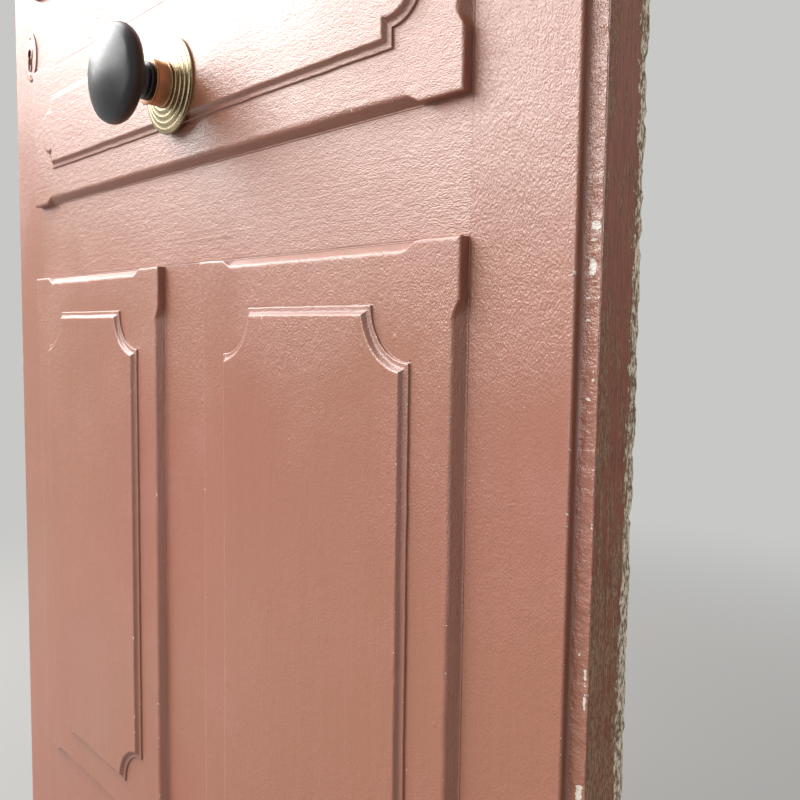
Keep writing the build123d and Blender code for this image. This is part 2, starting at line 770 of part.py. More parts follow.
pull_foot = works_out - latch_bar_thickness / 2
pull_root = -pull_foot - latch_bar_thickness
pull_rim = pull_knob_depth / 2
pull_middle = case_back - pull_stem_length - pull_rim
pull_plane = Plane(origin=(closing_edge + pull_place, 0, latch_z), x_dir=(0, 1, 0), z_dir=(1, 0, 0))
pull_axis = Axis((closing_edge + pull_place, 0, latch_z), (0, 1, 0))

with BuildPart() as latch_pull:
    with BuildSketch(pull_plane):
        with BuildLine():
            Polyline((pull_root, 0), (pull_root, pull_stem_radius / 2), (-pull_foot, pull_stem_radius / 2),
                     (-pull_foot, pull_stem_radius), (-pull_middle, pull_stem_radius), (-pull_middle, 0),
                     close=True)
        make_face()
    revolve(axis=pull_axis)
    with BuildSketch(pull_plane):
        with BuildLine():
            Polyline((-pull_middle - pull_rim, 0), (-pull_middle - pull_rim, pull_knob_radius - pull_rim))
            ThreePointArc((-pull_middle - pull_rim, pull_knob_radius - pull_rim),
                          (-pull_middle, pull_knob_radius),
                          (-pull_middle + pull_rim, pull_knob_radius - pull_rim))
            Polyline((-pull_middle + pull_rim, pull_knob_radius - pull_rim), (-pull_middle + pull_rim, 0),
                     (-pull_middle - pull_rim, 0))
        make_face()
    revolve(axis=pull_axis)
save(latch_pull.part, "latch_pull")

spring_seat = latch_bar_end + spring_wire / 2 + plate_clearance
spring_run = lug_place - latch_bar_end - spring_wire - 2 * plate_clearance

with BuildPart() as latch_spring:
    with BuildLine() as coil:
        Helix(pitch=spring_run / spring_turns, height=spring_run, radius=spring_coil_radius,
              center=(closing_edge + spring_seat, -works_out, latch_z), direction=(1, 0, 0))
    with BuildSketch(Plane(origin=coil.line @ 0, z_dir=coil.line % 0)):
        RegularPolygon(spring_wire / 2, spring_sides)
    sweep(is_frenet=True)
save(latch_spring.part, "latch_spring")

with BuildPart() as dead_bolt:
    talon = keyhole_x - closing_edge
    block(reaches(0, dead_head_inner), span(works_out, dead_thickness), span(dead_z, dead_height))
    block(reaches(dead_head_inner, dead_bar_end), span(works_out, dead_bar_thickness),
          span(dead_z, dead_bar_height))
    slot_wall = guide_post_radius + bolt_clearance
    block(reaches(guide_post_place - slot_wall, guide_post_place + dead_throw + slot_wall),
          span(works_out, 2 * dead_bar_thickness), span(dead_z, 2 * slot_wall), Mode.SUBTRACT)
    block(reaches(*span(talon, talon_width)), span(works_out, 2 * dead_bar_thickness),
          (dead_z - dead_bar_height, dead_z - dead_bar_height / 2 + talon_depth), Mode.SUBTRACT)
save(dead_bolt.part, "dead_bolt")

with BuildPart() as bolt_spring:
    left, right = reaches(bow_place, bow_place + bow_length)
    seat = dead_z + dead_bar_height / 2 + screw_clearance
    with BuildSketch(facing(works_out - bow_width / 2)):
        with BuildLine():
            ThreePointArc((left, seat + bow_rise), ((left + right) / 2, seat), (right, seat + bow_rise))
            Line((right, seat + bow_rise), (right, seat + bow_rise + bow_strip))
            ThreePointArc((right, seat + bow_rise + bow_strip), ((left + right) / 2, seat + bow_strip),
                          (left, seat + bow_rise + bow_strip))
            Line((left, seat + bow_rise + bow_strip), (left, seat + bow_rise))
        make_face()
    extrude(amount=bow_width)
save(bolt_spring.part, "bolt_spring")

with BuildPart() as lock_screws:
    for i, spot in enumerate(case_spots()):
        screw(spot, case_screw_length, 35 + 50 * i)
save(lock_screws.part, "lock_screws")

with BuildPart() as flange_screws:
    for i, spot in enumerate(flange_spots()):
        screw(spot, screw_length, 10 + 70 * i)
save(flange_screws.part, "flange_screws")


# Lift-off hinge halves. The plate lies in the stile's edge and wraps into a knuckle
# on the room side, an open tube for the pin of the frame's half.

for place, height in hinge_heights.items():
    with BuildPart() as hinge:
        block((leaf_half - hinge_plate_thickness, leaf_half), (back, back + hinge_plate_width),
              span(height, hinge_length))
        block((leaf_half - hinge_plate_thickness, leaf_half), (hinge_axis_out, back),
              (height, height + knuckle_length))
        with BuildSketch(Plane.XY.offset(height)):
            with Locations((hinge_axis_x, -hinge_axis_out)):
                Circle(knuckle_radius)
        extrude(amount=knuckle_length)
        top_rim = hinge.edges().filter_by(GeomType.CIRCLE).sort_by(Axis.Z)[-1]
        chamfer(top_rim, length=(knuckle_radius - hinge_bore_radius) / 3)
        with Locations((hinge_axis_x, -hinge_axis_out, height + knuckle_length / 2)):
            Cylinder(hinge_bore_radius, knuckle_length, mode=Mode.SUBTRACT)
        with Locations((hinge_axis_x, -hinge_axis_out, height)):
            Cone(hinge_bore_radius + hinge_bore_mouth, hinge_bore_radius, hinge_bore_mouth,
                 align=(Align.CENTER, Align.CENTER, Align.MIN), mode=Mode.SUBTRACT)
        with Locations((hinge_axis_x, -hinge_axis_out, height + knuckle_length)):
            Cone(hinge_bore_radius, hinge_bore_radius + hinge_bore_mouth, hinge_bore_mouth,
                 align=(Align.CENTER, Align.CENTER, Align.MAX), mode=Mode.SUBTRACT)
        for spot in hinge_spots(height):
            screw_hole(spot, 2 * hinge_plate_thickness)
            countersink(spot)
    save(hinge.part, f"hinge_{place}")
    with BuildPart() as hinge_screws:
        for i, spot in enumerate(hinge_spots(height)):
            screw(spot, screw_length, 25 + 40 * i + height / 10)
    save(hinge_screws.part, f"hinge_{place}_screws")
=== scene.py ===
"""Finished surfaces for an old panelled front door: joinery, raised panels, knob, keyhole plate, lock, hinges.

Lengths are millimetres in the door's own frame until they go into a mesh. X runs across the leaf towards the
hinges and Z is up. "Out" is the distance from the leaf's middle plane towards the street, so Y is minus out.
"""
from functools import partial
from types import SimpleNamespace
import bpy
import numpy as np
from bpy.props import FloatProperty, FloatVectorProperty, IntProperty, PointerProperty
from mathutils import Matrix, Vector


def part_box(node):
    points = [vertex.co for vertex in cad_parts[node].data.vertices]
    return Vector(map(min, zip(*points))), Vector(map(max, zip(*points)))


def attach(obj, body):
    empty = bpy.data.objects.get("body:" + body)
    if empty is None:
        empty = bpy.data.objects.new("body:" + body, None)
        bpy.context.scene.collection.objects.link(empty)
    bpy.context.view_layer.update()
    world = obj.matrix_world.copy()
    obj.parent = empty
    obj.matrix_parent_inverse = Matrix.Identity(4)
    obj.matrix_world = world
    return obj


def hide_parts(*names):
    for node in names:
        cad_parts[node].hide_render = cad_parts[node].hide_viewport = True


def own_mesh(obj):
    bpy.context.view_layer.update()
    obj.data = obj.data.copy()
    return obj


bl_info = {
    "name": "Panelled Front Door",
    "version": (1, 0, 0),
    "blender": (4, 5, 0),
    "location": "View3D > Sidebar > Front Door",
    "description": "Builds the finished surfaces of an old painted front door around its solid parts",
    "category": "Object",
}

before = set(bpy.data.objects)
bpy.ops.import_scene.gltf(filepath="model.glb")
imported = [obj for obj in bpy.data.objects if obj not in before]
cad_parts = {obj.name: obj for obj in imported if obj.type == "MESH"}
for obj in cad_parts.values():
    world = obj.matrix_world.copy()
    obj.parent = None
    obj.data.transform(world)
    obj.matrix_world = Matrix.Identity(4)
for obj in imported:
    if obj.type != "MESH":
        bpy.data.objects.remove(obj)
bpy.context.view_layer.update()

MM = 0.001


def corners_of(node):
    """Lowest and highest corner of a solid, in millimetres."""
    low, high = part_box(node)
    return np.array(low) / MM, np.array(high) / MM


STILE_LOW, STILE_HIGH = corners_of("lock_stile")
LEAF_HALF = -STILE_LOW[0]
OPENING_HALF = -STILE_HIGH[0]
FRONT = -STILE_LOW[1]
LEAF_HEIGHT = STILE_HIGH[2]
TONGUE_REACH = 10.0
TONGUE_HALF = corners_of("wide_panel")[1][1]
FIELD_FACE = -corners_of("wide_panel")[0][1]
PANELS = ("lower_left_panel", "lower_right_panel", "wide_panel", "upper_left_panel", "upper_right_panel")
RAILS = ("bottom_rail", "middle_rail", "lock_rail", "top_rail")
MUNTINS = ("lower_muntin", "upper_muntin")
HINGES = ("hinge_bottom", "hinge_middle", "hinge_top")


# Values that a user would change

def length(name, description, default):
    """A length, given in millimetres and held in metres."""
    return FloatProperty(name=name, description=description, default=default * MM, min=0.0, soft_max=0.2,
                         precision=5, subtype="DISTANCE", unit="LENGTH")


def share(name, description, default):
    """A share between nothing and all."""
    return FloatProperty(name=name, description=description, default=default, min=0.0, max=1.0,
                         subtype="FACTOR")


def strength(name, description, default):
    """A light's radiance, where 1 shows white as white."""
    return FloatProperty(name=name, description=description, default=default, min=0.0, soft_max=10.0)


def colour(name, description, default):
    """A colour from its 0 to 255 screen values."""
    shown = np.array(default) / 255
    linear = np.where(shown <= 0.04045, shown / 12.92, ((shown + 0.055) / 1.055) ** 2.4)
    return FloatVectorProperty(name=name, description=description, default=tuple(linear), size=3,
                               min=0.0, max=1.0, subtype="COLOR")


class JoinerySizes(bpy.types.PropertyGroup):
    """Sizes of the stiles, rails, muntins and panels."""
    step_width: length("Edge Step Width", "Width of the step along the leaf's outer edges", 12.0)
    step_depth: length("Edge Step Depth", "Depth of the step along the leaf's outer edges", 6.0)
    arris_round: length("Arris Round", "Radius of a painted arris", 1.1)
    joint_round: length("Joint Round", "Radius of an arris at a joint", 0.15)
    station_gap: length("Station Gap", "Length of a mesh step along a bar", 6.0)
    edge_station_gap: length("Edge Station Gap", "Length of a mesh step along the hinge stile", 2.3)
    panel_joint: length("Panel Joint", "Gap between a panel and the bars round it", 0.06)
    panel_proud: length("Panel Proud", "How far a panel stands out of the bars", 8.0)
    panel_ledge: length("Panel Ledge", "Width of the ledge at a panel's foot", 1.4)
    panel_chamfer: length("Panel Chamfer", "Width of the chamfer round a panel", 6.8)
    panel_stop: length("Chamfer Stop", "Where a chamfer stops short of the corner", 36.0)
    corner_wall: length("Corner Wall", "Setback of the panel's wall at its corners", 0.9)
    side_margin: length("Field Side Margin", "Flat beside a raised field", 41.0)
    end_margin: length("Field End Margin", "Flat above and below a raised field", 40.0)
    scoop: length("Scoop Radius", "Radius of the scooped corners", 36.5)
    tablet_side: length("Tablet Side Margin", "Flat beside the round-ended field", 60.0)
    tablet_end: length("Tablet End Margin", "Flat above and below the round-ended field", 37.0)
    tablet_shoulder: length("Tablet Shoulder", "Shoulder beside a round end", 12.5)
    unevenness: length("Unevenness", "How far old wood and thick paint stray from flat", 0.16)


class PaintFinish(bpy.types.PropertyGroup):
    """Colours and wear of the paint."""
    paint: colour("Paint", "Satin paint on the faces", (162, 95, 71))
    ochre: colour("Weathered Paint", "Where the paint has yellowed", (160, 99, 71))
    rose: colour("Faded Paint", "Where the paint has faded", (168, 103, 84))
    shade: colour("Grime", "Dirt and old varnish in the corners", (92, 48, 38))
    # Grime colour, also used as painted shade: creases, corners, joints and the keyhole's inside are darkened
    # towards it
    primer: colour("Primer", "White primer under the paint", (240, 230, 216))
    # Edge paint: older paint on the edges, made darker than the faces' paint as painted shade of the edges
    edge_paint: colour("Edge Paint", "Older paint on the leaf's edges", (138, 78, 58))
    bare_wood: colour("Bare Wood", "Worn wood on the edges", (174, 143, 114))
    raw_arris: colour("Raw Arris", "Splintered wood on the back arris", (246, 232, 206))
    brush_depth: length("Brush Depth", "Height of the brush ridges", 0.15)
    peel_depth: length("Peel Depth", "Height of the orange peel", 1.15)
    wear: share("Wear", "How much of the arrises has lost its paint", 0.35)


class HardwareFinish(bpy.types.PropertyGroup):
    """Colours of the knob, lock and hinges."""
    knob: colour("Knob", "Polished black of the knob", (31, 32, 37))
    brass: colour("Brass", "Worn polished brass", (204, 188, 152))
    tarnish: colour("Tarnish", "Dark brass in the hollows", (92, 78, 50))
    copper: colour("Copper", "Warm brass of the ferrule", (198, 150, 118))
    bolt: colour("Bolt Brass", "Dull brass of the bolts", (178, 148, 88))
    steel: colour("Steel", "Bright steel", (176, 174, 170))
    dull_steel: colour("Dull Steel", "Old steel of screws and lock plate", (118, 112, 105))
    japan: colour("Japan", "Black lacquer of the lock case", (30, 27, 25))
    hinge: colour("Hinge Paint", "Old paint over the hinges", (104, 66, 52))
    facets: IntProperty(name="Facets", description="Steps round a turned piece", default=144, min=24, max=256)


class StageSettings(bpy.types.PropertyGroup):
    """Light, floor, background and camera."""
    key: strength("Key Light", "Radiance of the large soft light", 5.1)
    top: strength("Top Light", "Radiance of the soft light overhead", 5.2)
    front: strength("Front Light", "Radiance of the low soft light in front", 1.0)
    fill: strength("Fill Light", "Radiance of the soft light behind", 2.0)
    sky: strength("Sky", "Strength of the even light from all round", 0.32)
    floor: colour("Floor", "Plain pale floor", (150, 149, 147))
    background: colour("Background", "What the camera sees beyond the floor", (200, 200, 198))
    lens: FloatProperty(name="Lens", description="Focal length of the camera", default=37.62, min=1.0,
                        unit="CAMERA")
    place: FloatVectorProperty(name="Camera Place", description="Where the camera stands", size=3,
                               default=(0.6693, -0.3882, 0.7119), subtype="TRANSLATION", unit="LENGTH")
    turn: FloatVectorProperty(name="Camera Turn", description="Camera's yaw, pitch down and roll", size=3,
                              default=tuple(np.radians((46.97, 4.55, 0.77))), subtype="EULER", unit="ROTATION")


SETTINGS = {"joinery": JoinerySizes, "paint": PaintFinish, "hardware": HardwareFinish, "stage": StageSettings}


def joinery_sizes(context):
    """The joinery's lengths in millimetres."""
    held = context.scene.joinery
    return SimpleNamespace(**{key: round(getattr(held, key) / MM, 4) for key in JoinerySizes.__annotations__})


# Surfaces

def lattice_noise(points, size, seed=0):
    """Smooth noise from -1 to 1. Every corner of a lattice with cells of this size has a hashed value, and a
    point gets the mean of its cell's corners, weighted by S-curves of its place in the cell."""
    cells = np.asarray(points, float) / np.asarray(size, float)
    corner = np.floor(cells)
    part = cells - corner
    part = part * part * (3 - 2 * part)
    corner = corner.astype(np.int64)
    total = np.zeros(cells.shape[:-1])
    for dx in (0, 1):
        for dy in (0, 1):
            for dz in (0, 1):
                key = ((corner[..., 0] + dx) * 374761393 + (corner[..., 1] + dy) * 668265263
                       + (corner[..., 2] + dz) * 1442695041 + seed * 974634777)
                key = (key ^ (key >> 13)) * 1274126177
                key = key ^ (key >> 16)
                weight = (np.abs(1 - dx - part[..., 0]) * np.abs(1 - dy - part[..., 1])
                          * np.abs(1 - dz - part[..., 2]))
                total += weight * ((key & 65535) / 32767.5 - 1)
    return total


def ease(low, high, value):
    """0 below low, 1 above high and an S-curve between them."""
    part = np.clip((value - low) / (high - low), 0, 1)
    return part * part * (3 - 2 * part)


def grid_faces(rows, columns, close_rows=False):
    """Quads between neighbouring points of a grid whose columns close into a ring."""
    last = rows if close_rows else rows - 1
    row, column = np.meshgrid(np.arange(last), np.arange(columns), indexing="ij")
    row_next, column_next = (row + 1) % rows, (column + 1) % columns
    quads = [row * columns + column, row * columns + column_next,
             row_next * columns + column_next, row_next * columns + column]
    return np.stack([q.ravel() for q in quads], axis=1)


def weld(points, faces):
    """Joins points that share a place to a thousandth of a millimetre and drops faces that vanish. Returns the
    first point of each place, and quads and triangles apart."""
    _, first, back = np.unique(np.round(points * 1e3).astype(np.int64), axis=0, return_index=True,
                               return_inverse=True)
    faces = back.reshape(-1)[faces]
    same = faces == np.roll(faces, -1, axis=1)
    faces, same = faces[same.sum(1) <= 1], same[same.sum(1) <= 1]
    quads = faces[~same.any(1)]
    short = faces[same.any(1)]
    keep = ~same[same.any(1)]
    triangles = short[keep].reshape(-1, 3)
    triangles = triangles[(triangles[:, 0] != triangles[:, 1]) & (triangles[:, 1] != triangles[:, 2])
                          & (triangles[:, 2] != triangles[:, 0])]
    quads = quads[(quads[:, 0] != quads[:, 2]) & (quads[:, 1] != quads[:, 3])]
    return first, quads, triangles


def volume_sign(points, quads):
    """Whether the faces of a closed surface look outwards, from the sum of their signed cones."""
    a, b, c, d = (points[quads[:, k]] for k in range(4))
    return np.sign(np.einsum("ij,ij->i", a, np.cross(b, c) + np.cross(c, d)).sum())


def closed_mesh(name, points, quads, triangles):
    """A mesh in metres from points in millimetres, filled from whole arrays and shaded smooth."""
    mesh = bpy.data.meshes.new(name)
    mesh.vertices.add(len(points))
    mesh.vertices.foreach_set("co", (points * MM).astype(np.float32).ravel())
    mesh.loops.add(quads.size + triangles.size)
    mesh.loops.foreach_set("vertex_index", np.concatenate([quads.ravel(), triangles.ravel()]).astype(np.int32))
    mesh.polygons.add(len(quads) + len(triangles))
    starts = np.concatenate([np.arange(len(quads)) * 4, quads.size + np.arange(len(triangles)) * 3])
    mesh.polygons.foreach_set("loop_start", starts.astype(np.int32))
    mesh.polygons.foreach_set("use_smooth", np.ones(len(mesh.polygons), bool))
    mesh.update(calc_edges=True)
    return mesh


def make_piece(name, points, materials, replaces, slot, masks=None, close_rows=False, face_mask=None):
    """Puts a grid of points (rows, columns, xyz in millimetres) into a mesh as a closed, outward, smooth piece.
    Masks are named values per point. A face takes the second material where face_mask is over a half."""
    grid = points.shape[:2]
    faces = grid_faces(*grid, close_rows)
    first, quads, triangles = weld(points.reshape(-1, 3), faces)
    welded = points.reshape(-1, 3)[first]
    if volume_sign(welded, quads) < 0:
        quads, triangles = quads[:, ::-1], triangles[:, ::-1]
    mesh = closed_mesh(name, welded, quads, triangles)
    for key, values in (masks or {}).items():
        layer = mesh.attributes.new(key, "FLOAT", "POINT")
        layer.data.foreach_set("value", np.broadcast_to(values, grid).reshape(-1)[first].astype(np.float32))
    for material in materials:
        mesh.materials.append(material)
    if face_mask is not None:
        chosen = np.broadcast_to(face_mask, grid).reshape(-1)[first]
        picks = np.concatenate([chosen[quads].mean(1), chosen[triangles].mean(1)]) > 0.5
        mesh.polygons.foreach_set("material_index", picks.astype(np.int32))
    mesh.validate()
    piece = bpy.data.objects.new(name, mesh)
    bpy.context.scene.collection.objects.link(piece)
    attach(piece, "leaf")
    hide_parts(*replaces)
    return piece


def cut_run(run, gap, close=0.7):
    """Places along a straight run: one close to each end and the rest evenly between them."""
    if run <= 3 * close:
        return np.array([run / 2]) if run > 0.2 else np.zeros(0)
    steps = max(int(np.ceil((run - 2 * close) / gap)), 1)
    return np.linspace(close, run - close, steps + 1)


def rounded_outline(corners, rounds, gaps, extra=()):
    """A closed outline with its corners turned into arcs. The arc of a corner starts and ends a tangent length
    from it, the radius times the tangent of half the turn, and the straight run after a corner is cut evenly by
    that corner's gap. Returns the points and their outward normals. Extra points are (corner, distance)."""
    corners = np.asarray(corners, float)
    ahead = np.roll(corners, -1, axis=0) - corners
    run = np.linalg.norm(ahead, axis=1)
    ahead = ahead / run[:, None]
    behind = np.roll(ahead, 1, axis=0)
    turn = np.arctan2(behind[:, 0] * ahead[:, 1] - behind[:, 1] * ahead[:, 0], (behind * ahead).sum(1))
    tangent = np.asarray(rounds) * np.tan(np.abs(turn) / 2)
    gaps = np.broadcast_to(gaps, len(corners))
    pieces = []
    for i, corner in enumerate(corners):
        start = corner - behind[i] * tangent[i]
        side = np.sign(turn[i]) * np.array([-behind[i][1], behind[i][0]])
        centre = start + side * rounds[i]
        steps = turn[i] * np.linspace(0, 1, 5)
        arm = start - centre
        pieces.append(centre + np.stack([arm[0] * np.cos(steps) - arm[1] * np.sin(steps),
                                         arm[0] * np.sin(steps) + arm[1] * np.cos(steps)], axis=1))
        after = (i + 1) % len(corners)
        places = cut_run(run[i] - tangent[i] - tangent[after], gaps[i]) + tangent[i]
        places = np.union1d(places, [distance for k, distance in extra if k == i])
        pieces.append(corner + ahead[i] * places[:, None])
    points = np.concatenate(pieces)
    slope = np.roll(points, -1, axis=0) - np.roll(points, 1, axis=0)
    slope /= np.linalg.norm(slope, axis=1)[:, None]
    return points, np.stack([slope[:, 1], -slope[:, 0]], axis=1)


def nearness(points, corners, reach):
    """1 at any of the corners, falling off as a bell of that reach."""
    gaps = np.linalg.norm(points[:, None, :] - np.asarray(corners, float)[None, :, :], axis=2)
    return np.exp(-(gaps.min(1) / reach) ** 2)


def bar_stations(low, high, gap, rounding, pairs=()):
    """Places along a bar with how far the outline is drawn in and scaled at each. The caps are three scaled
    rings at each end, then the end's arris in three steps, then even steps with close pairs at given places."""
    settle, pair_half, pair_clear = 0.6, 0.04, 0.4
    steps = max(int((high - low) / gap), 2)
    middle = np.arange(1, steps) * (high - low) / steps + low
    middle = middle[(middle > low + rounding + settle) & (middle < high - rounding - settle)]
    for place in pairs:
        middle = np.union1d(middle[np.abs(middle - place) > pair_clear], [place - pair_half, place + pair_half])
    bend = np.radians([90, 60, 30, 0])
    sunk, climbed = rounding * (1 - np.cos(bend)), rounding * (1 - np.sin(bend))
    caps = [0, 0.45, 0.85]
    places = np.concatenate([[low] * 3, low + climbed, [low + rounding + settle], middle,
                             [high - rounding - settle], high - climbed[::-1], [high] * 3])
    drawn = np.concatenate([[rounding] * 3, sunk, [0], 0 * middle, [0], sunk[::-1], [rounding] * 3])
    scale = np.concatenate([caps, np.ones(len(places) - 6), caps[::-1]])
    return places, drawn, scale


def bar_surface(outline, normals, stations, upright, unevenness, nicks, seed):
    """A bar: its outline carried along the stations, moved along its normals by slow noise (waves of old wood
    under thick paint) and moved inwards where a finer noise passes a level (nicks), by as much as each point
    of the outline may lose. Noise cells are given across, out and along, in millimetres."""
    places, drawn, scale = stations
    centre = (outline.min(0) + outline.max(0)) / 2
    ring = outline[None] - normals[None] * drawn[:, None, None]
    ring = centre + (ring - centre) * scale[:, None, None]
    along = np.broadcast_to(places[:, None], ring.shape[:2])
    space = np.stack([ring[..., 0], ring[..., 1], along], axis=2)
    body = (scale == 1)[:, None]
    waves = lattice_noise(space, (55, 55, 90), seed) + 0.35 * lattice_noise(space, (14, 14, 30), seed + 1)
    knocks = ease(0.3, 0.8, lattice_noise(space, (5, 5, 7), seed + 2))
    knocks = knocks * ease(-0.1, 0.5, lattice_noise(space, 60, seed + 3))
    move = (waves * unevenness - knocks * nicks[None]) * body
    ring = ring + normals[None] * move[..., None]
    x, z = (ring[..., 0], along) if upright else (along, ring[..., 0])
    return np.stack([x, -ring[..., 1], z], axis=2)


def panel_cuts(side, gap, keys):
    """Places along one side of a panel: all of its keys, mirrored about the middle, and even steps between."""
    keys = np.asarray(keys)
    places = np.unique(np.round(np.concatenate([[0.0], keys, side - keys, [side]]), 3))
    filled = [np.linspace(a, b, max(int(np.ceil((b - a) / gap)), 1), endpoint=False)
              for a, b in zip(places[:-1], places[1:])]
    return np.concatenate(filled)


class PanelEdge:
    """The walk round a panel's bay: for every point its side, its place along it and the side's directions."""

    def __init__(self, bay, gap, cusps, stop):
        (x0, x1), (z0, z1) = bay
        starts = np.array([(x0, z0), (x1, z0), (x1, z1), (x0, z1)])
        ahead = np.array([(1, 0), (0, 1), (-1, 0), (0, -1)], float)
        inward = np.array([(0, 1), (-1, 0), (0, -1), (1, 0)], float)
        sides = (x1 - x0, z1 - z0, x1 - x0, z1 - z0)
        stops = stop + np.array([-2, -0.5, 0.6, 1.8, 3, 4.5, 6, 7.5, 9])
        cuts = []
        for k, side in enumerate(sides):
            near = cusps[k % 2]
            keys = np.concatenate([[0.5, 1.5, 3.5], stops, near + np.array([-1.4, -0.5, 0, 0.5, 1.4])])
            cuts.append(panel_cuts(side, gap, keys[keys < side / 2]))
        index = np.concatenate([np.full(len(c), k) for k, c in enumerate(cuts)])
        self.side = index
        self.place = np.concatenate(cuts)
        self.run = np.array(sides)[index]
        self.start, self.ahead, self.inward = starts[index], ahead[index], inward[index]
        self.corner = np.minimum(self.place, self.run - self.place)
        self.bay = bay

    def at(self, along, across):
        """Points from their distances along and across their own side."""
        return self.start + self.ahead * along[:, None] + self.inward * across[:, None]

    def ring(self, inset):
        """The bay's rectangle drawn in by an inset, which may change along the walk."""
        inset = np.broadcast_to(np.asarray(inset, float), self.place.shape)
        return self.at(inset + self.place * (self.run - 2 * inset) / self.run, inset)

    def spine(self):
        """For every point its target on the rectangle's middle line, where the rings meet."""
        (x0, x1), (z0, z1) = self.bay
        half = min(x1 - x0, z1 - z0) / 2
        x = np.clip(self.start[:, 0] + self.ahead[:, 0] * self.place, x0 + half, x1 - half)
        z = np.clip(self.start[:, 1] + self.ahead[:, 1] * self.place, z0 + half, z1 - half)
        return np.stack([x, z], axis=1)


def scooped_ring(edge, inset, margins, radius):
    """The field's outline drawn in by an inset: straight sides, and arcs about the field's corners whose radius
    grows with the inset. A point near a corner keeps its share of the way to the arc's middle."""
    lying = edge.side % 2 == 0
    along_margin = np.where(lying, margins[0], margins[1])
    across_margin = np.where(lying, margins[1], margins[0])
    grown = radius + inset
    reach = np.sqrt(grown ** 2 - inset ** 2)
    cusp = along_margin + radius
    low = along_margin + reach
    straight = low + (edge.corner - cusp) * (edge.run / 2 - low) / (edge.run / 2 - cusp)
    first = np.arcsin(inset / grown)
    angle = first + (np.pi / 4 - first) * (1 - np.minimum(edge.corner / cusp, 1))
    on_arc = edge.corner < cusp
    along = np.where(on_arc, along_margin + grown * np.cos(angle), straight)
    across = np.where(on_arc, across_margin + grown * np.sin(angle), across_margin + inset)
    along = np.where(edge.place > edge.run / 2, edge.run - along, along)
    return edge.at(along, across)


# Share of the wide panel's short side, from each corner, over which its points stay on the shoulder
SHOULDER_SHARE = 0.2


def tablet_ring(edge, inset, margins, shoulder):
    """The round-ended field drawn in by an inset: a rectangle with shoulders, and between them on the short
    sides a half circle that bulges out and whose radius shrinks with the inset."""
    short = edge.side % 2 == 1
    along_margin = np.where(short, margins[1], margins[0])
    across_margin = np.where(short, margins[0], margins[1])
    half = edge.run / 2
    radius = edge.run[short][0] / 2 - margins[1] - shoulder - inset
    rise = np.sqrt(radius ** 2 - inset ** 2)
    reach = along_margin + inset
    straight = reach + edge.place * (edge.run - 2 * reach) / edge.run
    bend = SHOULDER_SHARE * edge.run
    up = reach + edge.corner / bend * (half - rise - reach)
    up = np.where(edge.place > half, edge.run - up, up)
    sweep = np.pi / 2 + np.arcsin(inset / radius)
    angle = sweep * (edge.place - half) / (half - bend)
    on_arc = short & (edge.corner >= bend)
    along = np.where(short, np.where(on_arc, half + radius * np.sin(angle), up), straight)
    across = np.where(on_arc, across_margin - radius * np.cos(angle), across_margin + inset)
    return edge.at(along, across)


# Rings of the soft bead of paint at a panel's foot: share of the way to the wall, rise, arris, crease
FOOT_BEAD = ((0.2, 0.02, 0.0, 0.5), (0.38, 0.22, 0.3, 0.1), (0.58, 0.3, 0.6, 0.0), (0.78, 0.2, 0.2, 0.0))

# Rings over a panel's upper arris: drop below the face, way in from the wall, arris
FACE_ARRIS = ((1.5, 0.0, 0.5), (0.9, 0.16, 1.0), (0.4, 0.6, 1.0), (0.1, 1.35, 0.8), (0.0, 2.3, 0.3))

# Rings of a field's moulding: inset, rise above the panel's face as a share of the field's height, arris and
# crease
FIELD_MOULD = (
    (-1.3, 0.0, 0.0, 0.1), (-0.45, 0.0, 0.0, 0.4), (-0.08, 0.012, 0.0, 0.6), (0.0, 0.08, 0.0, 0.5),
    (0.04, 0.24, 0.3, 0.2), (0.3, 0.315, 0.8, 0.0), (0.8, 0.33, 0.5, 0.0), (2.3, 0.34, 0.1, 0.15),
    (3.3, 0.36, 0.0, 0.4), (3.9, 0.42, 0.0, 0.5), (4.5, 0.53, 0.0, 0.4), (5.1, 0.68, 0.0, 0.3),
    (5.7, 0.85, 0.2, 0.1), (6.15, 0.95, 0.8, 0.0), (6.8, 0.992, 0.9, 0.0), (7.8, 1.0, 0.3, 0.0),
)

# Where the paint at a panel's foot starts, just under the face of the bars
FOOT_OUT = FRONT - 0.06


